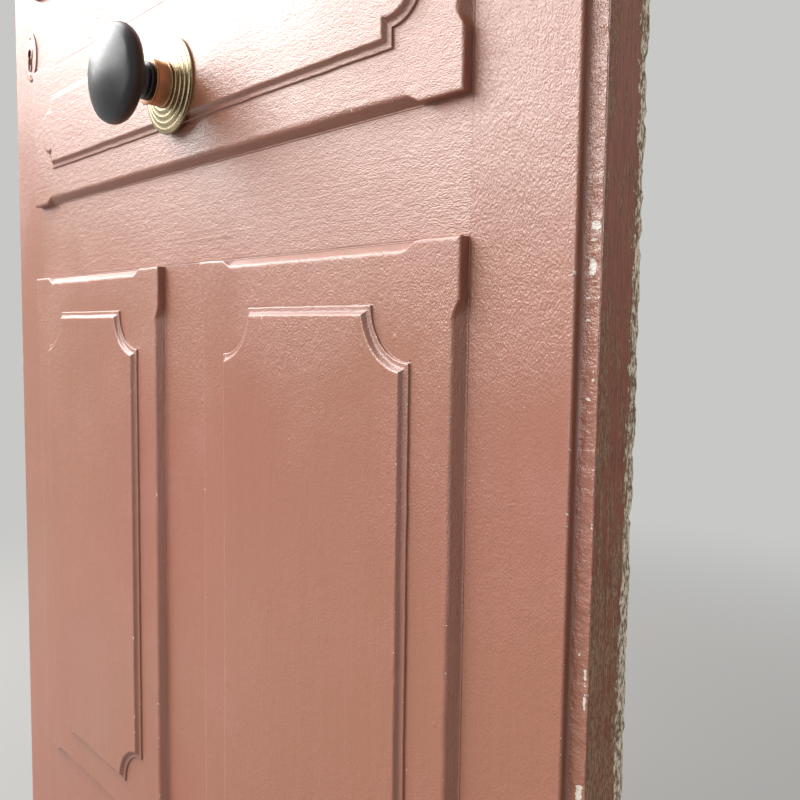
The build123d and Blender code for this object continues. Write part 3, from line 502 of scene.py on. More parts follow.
def panel_rings(edge, sizes, outline):
    """A raised panel as rings that run from the middle of its back over the tongue, the wall, the ledge, the
    stopped chamfer, the flat and the field's moulding to the middle of the field. A ring is a rectangle drawn
    in, the field's outline drawn in, or a mix of one of them and the middle line. Returns the rings as
    (rows, columns, xz and out), and how much arris, crease and roughness each has."""
    rows, marks = [], []

    def add(places, out, arris=0.0, crease=0.0, rough=1.0):
        """Puts a ring at one distance out."""
        rows.append(np.concatenate([places, np.broadcast_to(out, edge.place.shape)[:, None]], axis=1))
        marks.append((arris, crease, rough))

    def wall(out):
        """How far in the panel's side is at a height: plumb at the corners and sloping along the chamfer."""
        part = (out - FOOT_OUT) / (face - FOOT_OUT)
        slope = joint + sizes.panel_ledge + part * (sizes.panel_chamfer - sizes.panel_ledge)
        return (joint + sizes.corner_wall) * (1 - ramp) + slope * ramp

    joint, face = sizes.panel_joint, FRONT + sizes.panel_proud
    ramp = ease(sizes.panel_stop - 0.5, sizes.panel_stop + 8.0, edge.corner)
    spine, tongue, inner_back = edge.spine(), edge.ring(-TONGUE_REACH), edge.ring(0.6)
    for part in (1.0, 0.8, 0.6, 0.4, 0.22, 0.1, 0.03, 0.0):
        add(spine * part + inner_back * (1 - part), -TONGUE_HALF, 0, 0.7 * (part == 0))
    for out in (-TONGUE_HALF, TONGUE_HALF):
        add(tongue, out, 0, 1, 0)
    for out in (TONGUE_HALF, 12.0, 18.0, FOOT_OUT - 0.7):
        add(edge.ring(joint), out, 0, 1, 0)
    add(edge.ring(joint + 0.05), FOOT_OUT - 0.25, 0, 0.4, 0)
    for part, lift, arris, crease in FOOT_BEAD:
        add(edge.ring(wall(FOOT_OUT) * part), FOOT_OUT + lift, arris, crease, 0)
    add(edge.ring(wall(FOOT_OUT) - 0.15), FOOT_OUT + 0.05, 0, 0.35, 0)
    add(edge.ring(wall(FOOT_OUT)), FOOT_OUT + 0.12, 0, 0.45, 0)
    for part in (0.06, 0.2, 0.4, 0.6, 0.74):
        out = FOOT_OUT + part * (face - FOOT_OUT)
        add(edge.ring(wall(out)), out, 0.05, 0.2 * (1 - part), 0.5)
    for drop, inset, arris in FACE_ARRIS:
        add(edge.ring(wall(face - drop) + inset), face - drop, arris)
    rim, lap = edge.ring(wall(face) + 3.1), outline(edge, -1.9)
    for part in (0.0, 0.12, 0.28, 0.45, 0.62, 0.8, 0.93, 1.0):
        add(rim * (1 - part) + lap * part, face, 0.25 * (part == 0))
    for inset, height, arris, crease in FIELD_MOULD:
        add(outline(edge, inset), face + height * (FIELD_FACE - face), arris, crease, 0.6)
    field = outline(edge, FIELD_MOULD[-1][0] + 1.2)
    for part in (0.0, 0.05, 0.12, 0.2, 0.3, 0.4, 0.5, 0.6, 0.7, 0.8, 0.9, 1.0):
        add(field * (1 - part) + spine * part, FIELD_FACE)
    return np.stack(rows), (np.array(mark, float)[:, None] for mark in zip(*marks))


def panel_surface(edge, sizes, outline, seed):
    """A raised panel's rings, moved out and in by slow noise and knocked back at the arrises where a finer
    noise passes a level. Above the bars the rings also wander sideways by two more noises. Returns the points
    and their masks."""
    grid, (arris, crease, rough) = panel_rings(edge, sizes, outline)
    space = np.stack([grid[..., 0], grid[..., 2], grid[..., 1]], axis=2)
    waves = lattice_noise(space, (45, 45, 80), seed) + 0.3 * lattice_noise(space, (13, 13, 26), seed + 1)
    knocks = ease(0.35, 0.85, lattice_noise(space, (5, 5, 6), seed + 2))
    knocks = knocks * ease(0, 0.5, lattice_noise(space, 70, seed + 3))
    out = grid[..., 2] + waves * sizes.unevenness * rough - knocks * arris * 0.6
    wander = (grid[..., 2] > FOOT_OUT + 1)[..., None] * 0.3
    apart = np.stack([space + 900.0, space + 1900.0])
    aside = lattice_noise(apart, (17, 17, 30), seed + 4) + 0.5 * lattice_noise(apart, (5, 5, 9), seed + 5)
    grid[..., :2] += np.moveaxis(aside, 0, -1) * wander
    points = np.stack([grid[..., 0], -np.minimum(out, FIELD_FACE), grid[..., 1]], axis=2)
    return points, {"arris": arris, "crease": crease, "chip": 0.0}


def turned_surface(profile, centre_z, steps):
    """A turned piece: a profile of (out, radius) pairs spun about a line that runs straight out of the door."""
    angle = np.arange(steps) * 2 * np.pi / steps
    out, radius = profile[:, 0][:, None], profile[:, 1][:, None]
    x, z = radius * np.cos(angle), radius * np.sin(angle)
    return np.stack([x, np.broadcast_to(-out, x.shape), z + centre_z], axis=2)


def arc(centre, radius, first, last, steps):
    """Points of (out, radius) on an arc, by angle in degrees from the out direction."""
    angle = np.radians(np.linspace(first, last, steps))
    return np.stack([centre[0] + radius * np.cos(angle), centre[1] + radius * np.sin(angle)], axis=1)


def coil_surface(low, high, wire, turns):
    """A coil spring that lies along X and fills a box: a helix whose section is a circle across its own
    direction, drawn to a point at both ends. The centre line is sampled 40 times a turn."""
    centre = (low + high) / 2
    coil = (high[2] - low[2]) / 2 - wire
    along = np.linspace(0, 1, turns * 40 + 1)
    turn = along * turns * 2 * np.pi
    reach = high[0] - low[0] - 2 * wire
    line = np.stack([low[0] + wire + along * reach, centre[1] + coil * np.cos(turn),
                     centre[2] + coil * np.sin(turn)], axis=1)
    ahead = np.gradient(line, axis=0)
    ahead /= np.linalg.norm(ahead, axis=1)[:, None]
    outward = np.stack([0 * turn, np.cos(turn), np.sin(turn)], axis=1)
    across = np.cross(ahead, outward)
    thickness = np.concatenate([[0, 0.7], np.ones(len(along) - 4), [0.7, 0]]) * wire
    ring = np.arange(12)[None, :, None] * 2 * np.pi / 12
    section = outward[:, None] * np.cos(ring) + across[:, None] * np.sin(ring)
    return line[:, None] + section * thickness[:, None, None]


# Materials

class Sheet:
    """A node tree that is filled from left to right, one call a node."""

    def __init__(self, tree):
        self.tree = tree
        self.count = 0

    def add(self, kind, inputs=None, **settings):
        """Adds a node, sets it up and joins or fills its inputs by name or number."""
        made = self.tree.nodes.new(kind)
        made.location = (220 * (self.count % 9) - 1200, 300 - 260 * (self.count // 9))
        self.count += 1
        for key, value in settings.items():
            setattr(made, key, value)
        for key, value in (inputs or {}).items():
            self.fill(made.inputs[key], value)
        return made

    def fill(self, socket, value):
        """Joins another socket to this one, or sets it to a value."""
        if isinstance(value, bpy.types.NodeSocket):
            self.tree.links.new(value, socket)
        else:
            socket.default_value = value

    def give(self, result, **values):
        """Joins the outputs of a node group."""
        for key, value in values.items():
            self.tree.links.new(value, result.inputs[key])

    def group(self, tree, **inputs):
        """Places a shared node group, joins or fills its inputs and returns its outputs."""
        return self.add("ShaderNodeGroup", inputs, node_tree=tree).outputs

    def math(self, operation, first, second=0.0, third=0.0, clamp=False):
        """One step of arithmetic."""
        return self.add("ShaderNodeMath", {0: first, 1: second, 2: third}, operation=operation,
                        use_clamp=clamp).outputs[0]

    def noise(self, vector, scale, detail=2.0, roughness=0.5):
        """Soft noise from 0 to 1, with so many features a metre."""
        return self.add("ShaderNodeTexNoise", {"Vector": vector, "Scale": scale, "Detail": detail,
                                               "Roughness": roughness}).outputs["Fac"]

    def stretch(self, vector, scale):
        """A vector scaled along each axis."""
        return self.add("ShaderNodeVectorMath", {0: vector, 1: scale}, operation="MULTIPLY").outputs[0]

    def fade(self, value, low, high, first=0.0, last=1.0):
        """Maps low to high onto first to last with an S-curve."""
        return self.add("ShaderNodeMapRange", {"Value": value, "From Min": low, "From Max": high,
                                               "To Min": first, "To Max": last},
                        interpolation_type="SMOOTHSTEP").outputs[0]

    def mix(self, factor, first, second, blend="MIX"):
        """A mix of two colours."""
        made = self.add("ShaderNodeMix", data_type="RGBA", blend_type=blend, clamp_factor=True)
        for number, value in ((0, factor), (6, first), (7, second)):
            self.fill(made.inputs[number], value)
        return made.outputs[2]

    def mask(self, name):
        """A value that the mesh carries."""
        return self.add("ShaderNodeAttribute", attribute_name=name).outputs["Fac"]


def rgba(value, gain=1.0):
    """A colour property as a socket's four values."""
    return (*[min(part * gain, 1.0) for part in value], 1.0)


def new_group(name, inputs, outputs):
    """An empty shared node group. Inputs map a name to its kind and default, and outputs map a name to its
    kind. Returns the group's sheet, the sockets that it is given and its output node."""
    group = bpy.data.node_groups.new(name, "ShaderNodeTree")
    for label, (kind, default) in inputs.items():
        socket = group.interface.new_socket(name=label, in_out="INPUT", socket_type=f"NodeSocket{kind}")
        if default is not None:
            socket.default_value = default
    for label, kind in outputs.items():
        group.interface.new_socket(name=label, in_out="OUTPUT", socket_type=f"NodeSocket{kind}")
    sheet = Sheet(group)
    return sheet, sheet.add("NodeGroupInput").outputs, sheet.add("NodeGroupOutput")


def join(sheet, shader, **values):
    """Joins or fills the shader's own sockets."""
    for key, value in values.items():
        sheet.fill(shader.inputs[key.replace("_", " ")], value)


def bumped(sheet, height):
    """A normal from a height in millimetres."""
    return sheet.add("ShaderNodeBump", {"Height": height, "Distance": MM, "Strength": 1.0}).outputs[0]


def paint_film_group(finish):
    """Thick brushed paint: ridges along the stroke, orange peel in patches, drips and pinholes, as a height in
    millimetres with masks for streaks, pinholes and patches."""
    if "Paint Film" in bpy.data.node_groups:
        return bpy.data.node_groups["Paint Film"]
    sheet, given, result = new_group(
        "Paint Film",
        {"Vector": ("Vector", None), "Stroke": ("Vector", (500.0, 500.0, 10.0)),
         "Draw": ("Vector", (1.0, 1.0, 0.62)), "Peel": ("Float", 1.0)},
        {"Height": "Float", "Streak": "Float", "Pinhole": "Float", "Patch": "Float"})
    place = given["Vector"]
    brushed = sheet.stretch(place, given["Stroke"])
    fine = sheet.noise(brushed, 1.0, 3.0, 0.6)
    broad = sheet.noise(sheet.stretch(brushed, (0.2, 0.2, 0.6)), 1.0, 2.0)
    streak = sheet.math("ADD", sheet.math("MULTIPLY", fine, 0.5), sheet.math("MULTIPLY", broad, 0.5))
    patch = sheet.noise(place, 7.0, 2.0)
    drawn = sheet.stretch(place, given["Draw"])
    worm = sheet.math("ABSOLUTE", sheet.math("SUBTRACT", sheet.noise(drawn, 600.0, 1.0), 0.5))
    peel = sheet.noise(drawn, 1050.0, 2.0, 0.6)
    coarse = sheet.noise(drawn, 200.0, 1.0)
    peel = sheet.math("ADD", sheet.math("MULTIPLY", peel, 0.55), sheet.math("MULTIPLY", coarse, 0.45))
    peel = sheet.math("MULTIPLY_ADD", worm, -0.55, peel)
    peel = sheet.math("MULTIPLY", peel, sheet.fade(patch, 0.3, 0.62, 0.35, 1.0))
    peel = sheet.math("MULTIPLY", peel, given["Peel"])
    cells = sheet.add("ShaderNodeTexVoronoi", {"Vector": place, "Scale": 75.0, "Randomness": 1.0}).outputs
    chance = sheet.add("ShaderNodeSeparateColor", {0: cells["Color"]}).outputs[0]
    spot = sheet.math("MULTIPLY", sheet.fade(cells["Distance"], 0.04, 0.12, 1.0, 0.0),
                      sheet.math("GREATER_THAN", chance, 0.97))
    drip = sheet.math("MULTIPLY", sheet.fade(cells["Distance"], 0.03, 0.2, 1.0, 0.0),
                      sheet.math("LESS_THAN", chance, 0.12))
    height = sheet.math("MULTIPLY", streak, 2 * finish.brush_depth / MM)
    height = sheet.math("MULTIPLY_ADD", peel, finish.peel_depth / MM, height)
    height = sheet.math("MULTIPLY_ADD", drip, 0.22, height)
    height = sheet.math("MULTIPLY_ADD", spot, -0.25, height)
    sheet.give(result, Height=height, Streak=streak, Pinhole=spot, Patch=patch)
    return sheet.tree


def paint_wear_group(finish):
    """What age does to the paint: slow blotches of three tones, worn arrises, creases darkened by grime and by
    painted shade, darkened pinholes, and chips down to the primer at the arrises and where the mesh says so, a
    few of them painted glints. Lumps are thick, glossy old drips."""
    if "Paint Wear" in bpy.data.node_groups:
        return bpy.data.node_groups["Paint Wear"]
    sheet, given, result = new_group(
        "Paint Wear",
        {"Vector": ("Vector", None), **{name: ("Float", 0.0) for name in (
            "Height", "Streak", "Pinhole", "Patch", "Arris", "Crease", "Chip", "Lumps")}},
        {"Colour": "Color", "Roughness": "Float", "Height": "Float"})
    place, arris, streak = given["Vector"], given["Arris"], given["Streak"]
    slow = sheet.noise(place, 2.6, 2.0)
    blotch = sheet.noise(place, 14.0, 3.0, 0.6)
    tone = sheet.mix(sheet.fade(slow, 0.36, 0.62), rgba(finish.paint), rgba(finish.ochre))
    tone = sheet.mix(sheet.fade(blotch, 0.45, 0.75, 0.0, 0.55), tone, rgba(finish.rose))
    brushed = sheet.add("ShaderNodeCombineColor", {
        channel: sheet.fade(streak, 0.3, 0.7, low, high)
        for channel, (low, high) in enumerate(((0.97, 1.02), (0.965, 1.025), (0.96, 1.03)))}).outputs[0]
    tone = sheet.mix(1.0, tone, brushed, "MULTIPLY")
    worn = sheet.math("MULTIPLY", arris, sheet.fade(sheet.noise(place, 35.0, 2.0), 0.4, 0.7))
    tone = sheet.mix(sheet.math("MULTIPLY", worn, 0.45), tone, rgba(finish.rose, 1.25))
    # Painted shade: the crease mask darkens creases and corners towards the grime colour, partly grime and
    # partly shade
    grime_and_shade = sheet.math("MULTIPLY", given["Crease"], sheet.fade(blotch, 0.25, 0.6, 0.45, 0.85))
    tone = sheet.mix(grime_and_shade, tone, rgba(finish.shade))
    tone = sheet.mix(sheet.math("MULTIPLY", given["Pinhole"], 0.35), tone, rgba(finish.shade))
    speck = sheet.noise(place, 210.0, 2.0, 0.7)
    speck = sheet.math("MULTIPLY_ADD", arris, 0.09 + 0.1 * finish.wear, speck)
    stripe = sheet.noise(sheet.stretch(place, (130.0, 130.0, 640.0)), 1.0, 2.0, 0.5)
    stripe = sheet.math("MULTIPLY_ADD", given["Chip"], 0.72, stripe)
    # Primer chips, and painted glints where the mesh's chip mask holds them
    chips_and_glints = sheet.math("MAXIMUM", sheet.fade(speck, 0.80, 0.83), sheet.fade(stripe, 0.86, 0.91))
    tone = sheet.mix(sheet.math("MULTIPLY", chips_and_glints, 0.95), tone, rgba(finish.primer))
    lumps = sheet.noise(sheet.stretch(place, (230.0, 230.0, 360.0)), 1.0, 3.0, 0.55)
    height = sheet.math("MULTIPLY_ADD", chips_and_glints, -0.25, given["Height"])
    height = sheet.math("MULTIPLY_ADD", sheet.math("MULTIPLY", given["Lumps"], lumps), 0.75, height)
    rough = sheet.fade(given["Patch"], 0.3, 0.7, 0.30, 0.42)
    rough = sheet.math("MULTIPLY_ADD", grime_and_shade, 0.3, rough)
    rough = sheet.math("MULTIPLY_ADD", given["Lumps"], -0.14, rough)
    sheet.give(result, Colour=tone, Roughness=rough, Height=height)
    return sheet.tree


def rubbed_metal_group():
    """Worn metal: a bright tone that dulls to a dark one in clouds, creases and specks, with fine scratches."""
    if "Rubbed Metal" in bpy.data.node_groups:
        return bpy.data.node_groups["Rubbed Metal"]
    sheet, given, result = new_group(
        "Rubbed Metal",
        {"Vector": ("Vector", None), "Scratches": ("Vector", (60.0, 60.0, 60.0)), "Crease": ("Float", 0.0),
         "Bright": ("Color", None), "Dark": ("Color", None), "Roughness": ("Float", 0.3),
         "Tarnish": ("Float", 0.35)},
        {"Colour": "Color", "Roughness": "Float", "Height": "Float"})
    cloud = sheet.noise(given["Vector"], 55.0, 4.0, 0.6)
    speck = sheet.noise(given["Vector"], 600.0, 2.0, 0.6)
    scratch = sheet.noise(sheet.stretch(given["Vector"], given["Scratches"]), 12.0, 3.0, 0.7)
    dull = sheet.fade(cloud, 0.42, 0.72, 0.0, given["Tarnish"])
    dull = sheet.math("ADD", dull, given["Crease"], clamp=True)
    tone = sheet.mix(dull, given["Bright"], given["Dark"])
    tone = sheet.mix(sheet.fade(speck, 0.6, 0.75, 0.0, 0.4), tone, given["Dark"])
    smooth, rough = (sheet.math("MULTIPLY", given["Roughness"], gain) for gain in (0.8, 1.25))
    rough = sheet.math("MULTIPLY_ADD", dull, 0.25, sheet.fade(scratch, 0.3, 0.7, smooth, rough))
    height = sheet.math("MULTIPLY_ADD", speck, 0.012, sheet.math("MULTIPLY", scratch, 0.02))
    sheet.give(result, Colour=tone, Roughness=rough, Height=height)
    return sheet.tree


def worn_lacquer_group():
    """Lacquer or polished black: worn to another tone in clouds and specks, with fine dust scratches."""
    if "Worn Lacquer" in bpy.data.node_groups:
        return bpy.data.node_groups["Worn Lacquer"]
    sheet, given, result = new_group(
        "Worn Lacquer",
        {"Vector": ("Vector", None), "Lacquer": ("Color", None), "Worn": ("Color", None),
         "Roughness": ("Float", 0.3), "Wear": ("Float", 0.1)},
        {"Colour": "Color", "Roughness": "Float", "Height": "Float"})
    cloud = sheet.noise(given["Vector"], 40.0, 4.0, 0.6)
    speck = sheet.noise(given["Vector"], 700.0, 3.0, 0.7)
    scratch = sheet.noise(sheet.stretch(given["Vector"], (40.0, 260.0, 260.0)), 3.0, 3.0, 0.7)
    worn = sheet.math("MULTIPLY", sheet.fade(cloud, 0.5, 0.75), given["Wear"])
    worn = sheet.math("ADD", worn, sheet.fade(speck, 0.68, 0.76, 0.0, given["Wear"]), clamp=True)
    tone = sheet.mix(worn, given["Lacquer"], given["Worn"])
    smooth, rough = (sheet.math("MULTIPLY", given["Roughness"], gain) for gain in (0.85, 1.4))
    rough = sheet.math("MULTIPLY_ADD", worn, 0.4, sheet.fade(scratch, 0.3, 0.75, smooth, rough))
    height = sheet.math("MULTIPLY_ADD", scratch, 0.006, sheet.math("MULTIPLY", cloud, 0.02))
    sheet.give(result, Colour=tone, Roughness=rough, Height=height)
    return sheet.tree


def new_material(name):
    """An empty material with its sheet, its shader and its object coordinates."""
    material = bpy.data.materials.new(name)
    material.use_nodes = True
    material.node_tree.nodes.clear()
    sheet = Sheet(material.node_tree)
    shader = sheet.add("ShaderNodeBsdfPrincipled")
    end = sheet.add("ShaderNodeOutputMaterial", {"Surface": shader.outputs[0]})
    shader.location, end.location = (900, 300), (1200, 300)
    place = sheet.add("ShaderNodeTexCoord").outputs["Object"]
    return material, sheet, shader, place


# Painted finishes: brush strokes a metre along each axis, how the orange peel is drawn out, and its share
PAINTS = {
    "painted_wood_upright": ((620.0, 620.0, 12.0), (1.0, 1.0, 0.62), 1.0),
    "painted_wood_lying": ((12.0, 620.0, 620.0), (0.62, 1.0, 1.0), 1.0),
    "painted_plate_film": ((620.0, 620.0, 12.0), (1.0, 1.0, 0.62), 0.7),
}

# Metals: bright tone, dark tone, roughness, scratches a metre along each axis, share of tarnish
METALS = {
    "worn_polished_brass": ("brass", "tarnish", 0.22, (30.0, 30.0, 30.0), 0.3),
    "worn_copper_brass": ("copper", "tarnish", 0.3, (30.0, 200.0, 30.0), 0.25),
    "dull_bolt_brass": ("bolt", "tarnish", 0.36, (8.0, 240.0, 240.0), 0.55),
    "rubbed_steel": ("steel", "dull_steel", 0.32, (60.0, 60.0, 60.0), 0.5),
    "brown_lock_steel": ("dull_steel", "japan", 0.42, (20.0, 200.0, 200.0), 0.6),
    "dark_screw_steel": ("dull_steel", "japan", 0.4, (90.0, 90.0, 90.0), 0.6),
}

# Lacquers: their own tone, the tone where they are worn, roughness, share of wear
LACQUERS = {
    "gloss_black": ("knob", "tarnish", 0.33, 0.04),
    "old_black_japan": ("japan", "dull_steel", 0.34, 0.35),
    "painted_hinge_steel": ("hinge", "dull_steel", 0.45, 0.6),
}

# Noises of the leaf's edges: features a metre across the grain and along it, detail, roughness
EDGE_NOISES = {
    "grain": (1100.0, 36.0, 4.0, 0.7), "streak": (300.0, 26.0, 4.0, 0.7), "ragged": (330.0, 120.0, 3.0, 0.65),
    "splinter": (700.0, 220.0, 3.0, 0.7), "fleck": (1300.0, 420.0, 3.0, 0.7), "grit": (1100.0, 260.0, 2.0, 0.7),
}


def old_paint(name, finish):
    """Old satin paint, brushed along the wood. Its orange peel is half as deep low on the leaf."""
    if name in bpy.data.materials:
        return bpy.data.materials[name]
    stroke, draw, peel = PAINTS[name]
    material, sheet, shader, place = new_material(name)
    up = sheet.add("ShaderNodeSeparateXYZ", {0: place}).outputs[2]
    film = sheet.group(paint_film_group(finish), Vector=place, Stroke=stroke, Draw=draw,
                       Peel=sheet.fade(up, 0.4, 0.8, 0.5 * peel, peel))
    worn = sheet.group(paint_wear_group(finish), Vector=place, **{output.name: output for output in film},
                       **{name.title(): sheet.mask(name) for name in ("arris", "crease", "chip", "lumps")})
    join(sheet, shader, Base_Color=worn["Colour"], Roughness=worn["Roughness"],
         Normal=bumped(sheet, worn["Height"]))
    join(sheet, shader, IOR=1.6, Specular_IOR_Level=0.95, Coat_Weight=0.2, Coat_Roughness=0.3)
    return material


def worn_edge(finish):
    """The leaf's edges: thin old paint, darker than the faces' paint as painted shade, over upright grain, worn
    to grey wood in streaks and down the height, and to raw splinters along the room-side arris of the hinge
    stile."""
    if "worn_edge" in bpy.data.materials:
        return bpy.data.materials["worn_edge"]
    material, sheet, shader, place = new_material("worn_edge")
    axes = sheet.add("ShaderNodeSeparateXYZ", {0: place}).outputs
    noise = {key: sheet.noise(sheet.stretch(place, (across, across, along)), 1.0, detail, roughness)
             for key, (across, along, detail, roughness) in EDGE_NOISES.items()}

    def stray(value, gain, total):
        """Adds a noise, taken about its middle, to a total."""
        return sheet.math("MULTIPLY_ADD", sheet.math("SUBTRACT", value, 0.5), gain, total)

    through = sheet.fade(axes[1], -0.0165, 0.0225)
    low = sheet.fade(axes[2], 0.80, 0.45, 0.0, 0.16)
    lip = sheet.fade(through, 0.20, 0.05, 0.0, 0.07)
    bare = sheet.math("ADD", sheet.math("ADD", noise["streak"], low), lip)
    bare = stray(sheet.noise(place, 42.0, 2.0), 0.5, bare)
    bare = sheet.fade(stray(noise["fleck"], 0.7, bare), 0.50, 0.72)
    wood = sheet.mix(sheet.fade(noise["grit"], 0.35, 0.65), rgba(finish.bare_wood, 0.34),
                     rgba(finish.bare_wood, 1.05))
    # Painted shade: the edge paint is darker than the faces' paint to stand for the shade on the edges
    tone = sheet.mix(sheet.fade(noise["grain"], 0.35, 0.65), rgba(finish.edge_paint, 0.72),
                     rgba(finish.edge_paint, 1.3))
    tone = sheet.mix(sheet.math("MULTIPLY", bare, 0.8), tone, wood)
    raw = sheet.math("ADD", sheet.fade(through, 0.62, 1.0, 0.0, 0.42), sheet.math("MULTIPLY", low, 0.5))
    raw = stray(noise["ragged"], 0.9, raw)
    raw = sheet.math("ADD", raw, sheet.fade(axes[0], -0.1, 0.1, -0.3, 0.0))
    raw = sheet.fade(raw, 0.27, 0.33)
    fibre = sheet.mix(sheet.fade(noise["splinter"], 0.41, 0.60), rgba(finish.bare_wood, 0.45),
                      rgba(finish.raw_arris))
    tone = sheet.mix(raw, tone, fibre)
    # Painted shade: creases on the edges darken towards the grime colour, partly grime and partly shade
    tone = sheet.mix(sheet.math("MULTIPLY", sheet.mask("crease"), 0.7), tone, rgba(finish.shade, 0.7))
    height = sheet.math("MULTIPLY", noise["grain"], sheet.math("MULTIPLY_ADD", bare, 0.3, 0.15))
    height = sheet.math("MULTIPLY_ADD", noise["grit"], 0.25, height)
    height = sheet.math("MULTIPLY_ADD", sheet.math("MULTIPLY", raw, noise["splinter"]), 0.5, height)
    rough = sheet.math("MULTIPLY_ADD", sheet.math("MAXIMUM", bare, raw), 0.25, 0.6)
    join(sheet, shader, Base_Color=tone, Roughness=rough, Normal=bumped(sheet, height), Specular_IOR_Level=0.25)
    return material


def metal(name, metals):
    """One of the worn metals."""
    if name in bpy.data.materials:
        return bpy.data.materials[name]
    bright, dark, rough, scratches, tarnish = METALS[name]
    material, sheet, shader, place = new_material(name)
    worn = sheet.group(rubbed_metal_group(), Vector=place, Scratches=scratches, Crease=sheet.mask("crease"),
                       Bright=rgba(getattr(metals, bright)), Dark=rgba(getattr(metals, dark)),
                       Roughness=rough, Tarnish=tarnish)
    join(sheet, shader, Base_Color=worn["Colour"], Metallic=1.0, Roughness=worn["Roughness"],
         Normal=bumped(sheet, worn["Height"]))
    return material


def lacquer(name, metals):
    """One of the glossy lacquers."""
    if name in bpy.data.materials:
        return bpy.data.materials[name]
    own, worn_to, rough, wear = LACQUERS[name]
    material, sheet, shader, place = new_material(name)
    worn = sheet.group(worn_lacquer_group(), Vector=place, Lacquer=rgba(getattr(metals, own)),
                       Worn=rgba(getattr(metals, worn_to)), Roughness=rough, Wear=wear)
    join(sheet, shader, Base_Color=worn["Colour"], Roughness=worn["Roughness"],
         Normal=bumped(sheet, worn["Height"]), Specular_IOR_Level=0.6)
    return material


def dress(nodes, material):
    """Gives solids that stay a finished material."""
    for name in nodes:
        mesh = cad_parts[name].data
        mesh.materials.clear()
        mesh.materials.append(material)


# Stiles and their keyhole

# Iron let into a stile's outer edge, on the lock stile (-1) and the hinge stile (1): how far it reaches from
# the room side, and its thickness
INLETS = {-1: (20.0, 2.0), 1: (31.0, 2.6)}

# Chips through to the white primer along the hinge stile's step, and painted glints of light on its glossy
# floor (the marks at heights 515,
# 530 and 540): place across, height, half width, half height and strength. The lock stile has them mirrored and
# higher by the lift.
CHIP_LIFT = 57.0
PRIMER_CHIPS_AND_GLINTS = (
    (418.0, 768.8, 2.9, 2.5, 1.0), (417.0, 761.4, 2.4, 1.2, 0.9), (416.2, 747.8, 2.7, 5.6, 0.78),
    (414.4, 732.2, 1.8, 1.2, 0.8), (414.5, 720.6, 1.9, 1.2, 0.8), (418.8, 690.5, 1.0, 4.0, 0.65),
    # Painted glints: the marks at heights 530, 540 and 515 stand for light glinting on the step's glossy paint
    (416.2, 679.6, 2.2, 1.2, 0.9), (419.6, 530.0, 1.3, 7.0, 0.7), (416.0, 540.0, 1.3, 1.5, 0.7),
    (419.8, 515.0, 1.2, 5.0, 0.7), (418.0, 463.0, 2.4, 6.0, 0.95), (420.8, 611.0, 0.8, 3.0, 0.7),
    (417.2, 1310.0, 2.6, 5.0, 0.9), (420.5, 1512.0, 1.2, 12.0, 0.8), (420.7, 1120.0, 1.0, 10.0, 0.7),
    (415.0, 214.0, 2.6, 6.0, 0.85), (420.6, 90.0, 1.2, 14.0, 0.8), (420.6, 330.0, 1.0, 9.0, 0.7),
)

# The keyhole, seen from the point inside it that has its whole rim in sight: rise to the round hole's centre,
# that hole's radius, half the slot's width, drop to the slot's foot, and rise to the plate's middle
KEYHOLE_RISE, KEYHOLE_RADIUS, SLOT_HALF, SLOT_DROP, PLATE_RISE = 4.0, 5.0, 3.0, 14.0, 1.0


def chips_and_glints_at(x, z, side):
    """The strongest mark at each point, primer chips and painted glints alike: full inside its oval and falling
    off outside it as a bell.
    """
    strongest = np.zeros(x.shape)
    lift = 0.0 if side > 0 else CHIP_LIFT
    for across, height, wide, tall, strong in PRIMER_CHIPS_AND_GLINTS:
        gap = ((np.abs(x) - across) / wide) ** 2 + ((z - height - lift) / tall) ** 2
        strongest = np.maximum(strongest, strong * np.exp(-0.6 * gap ** 1.5))
    return strongest


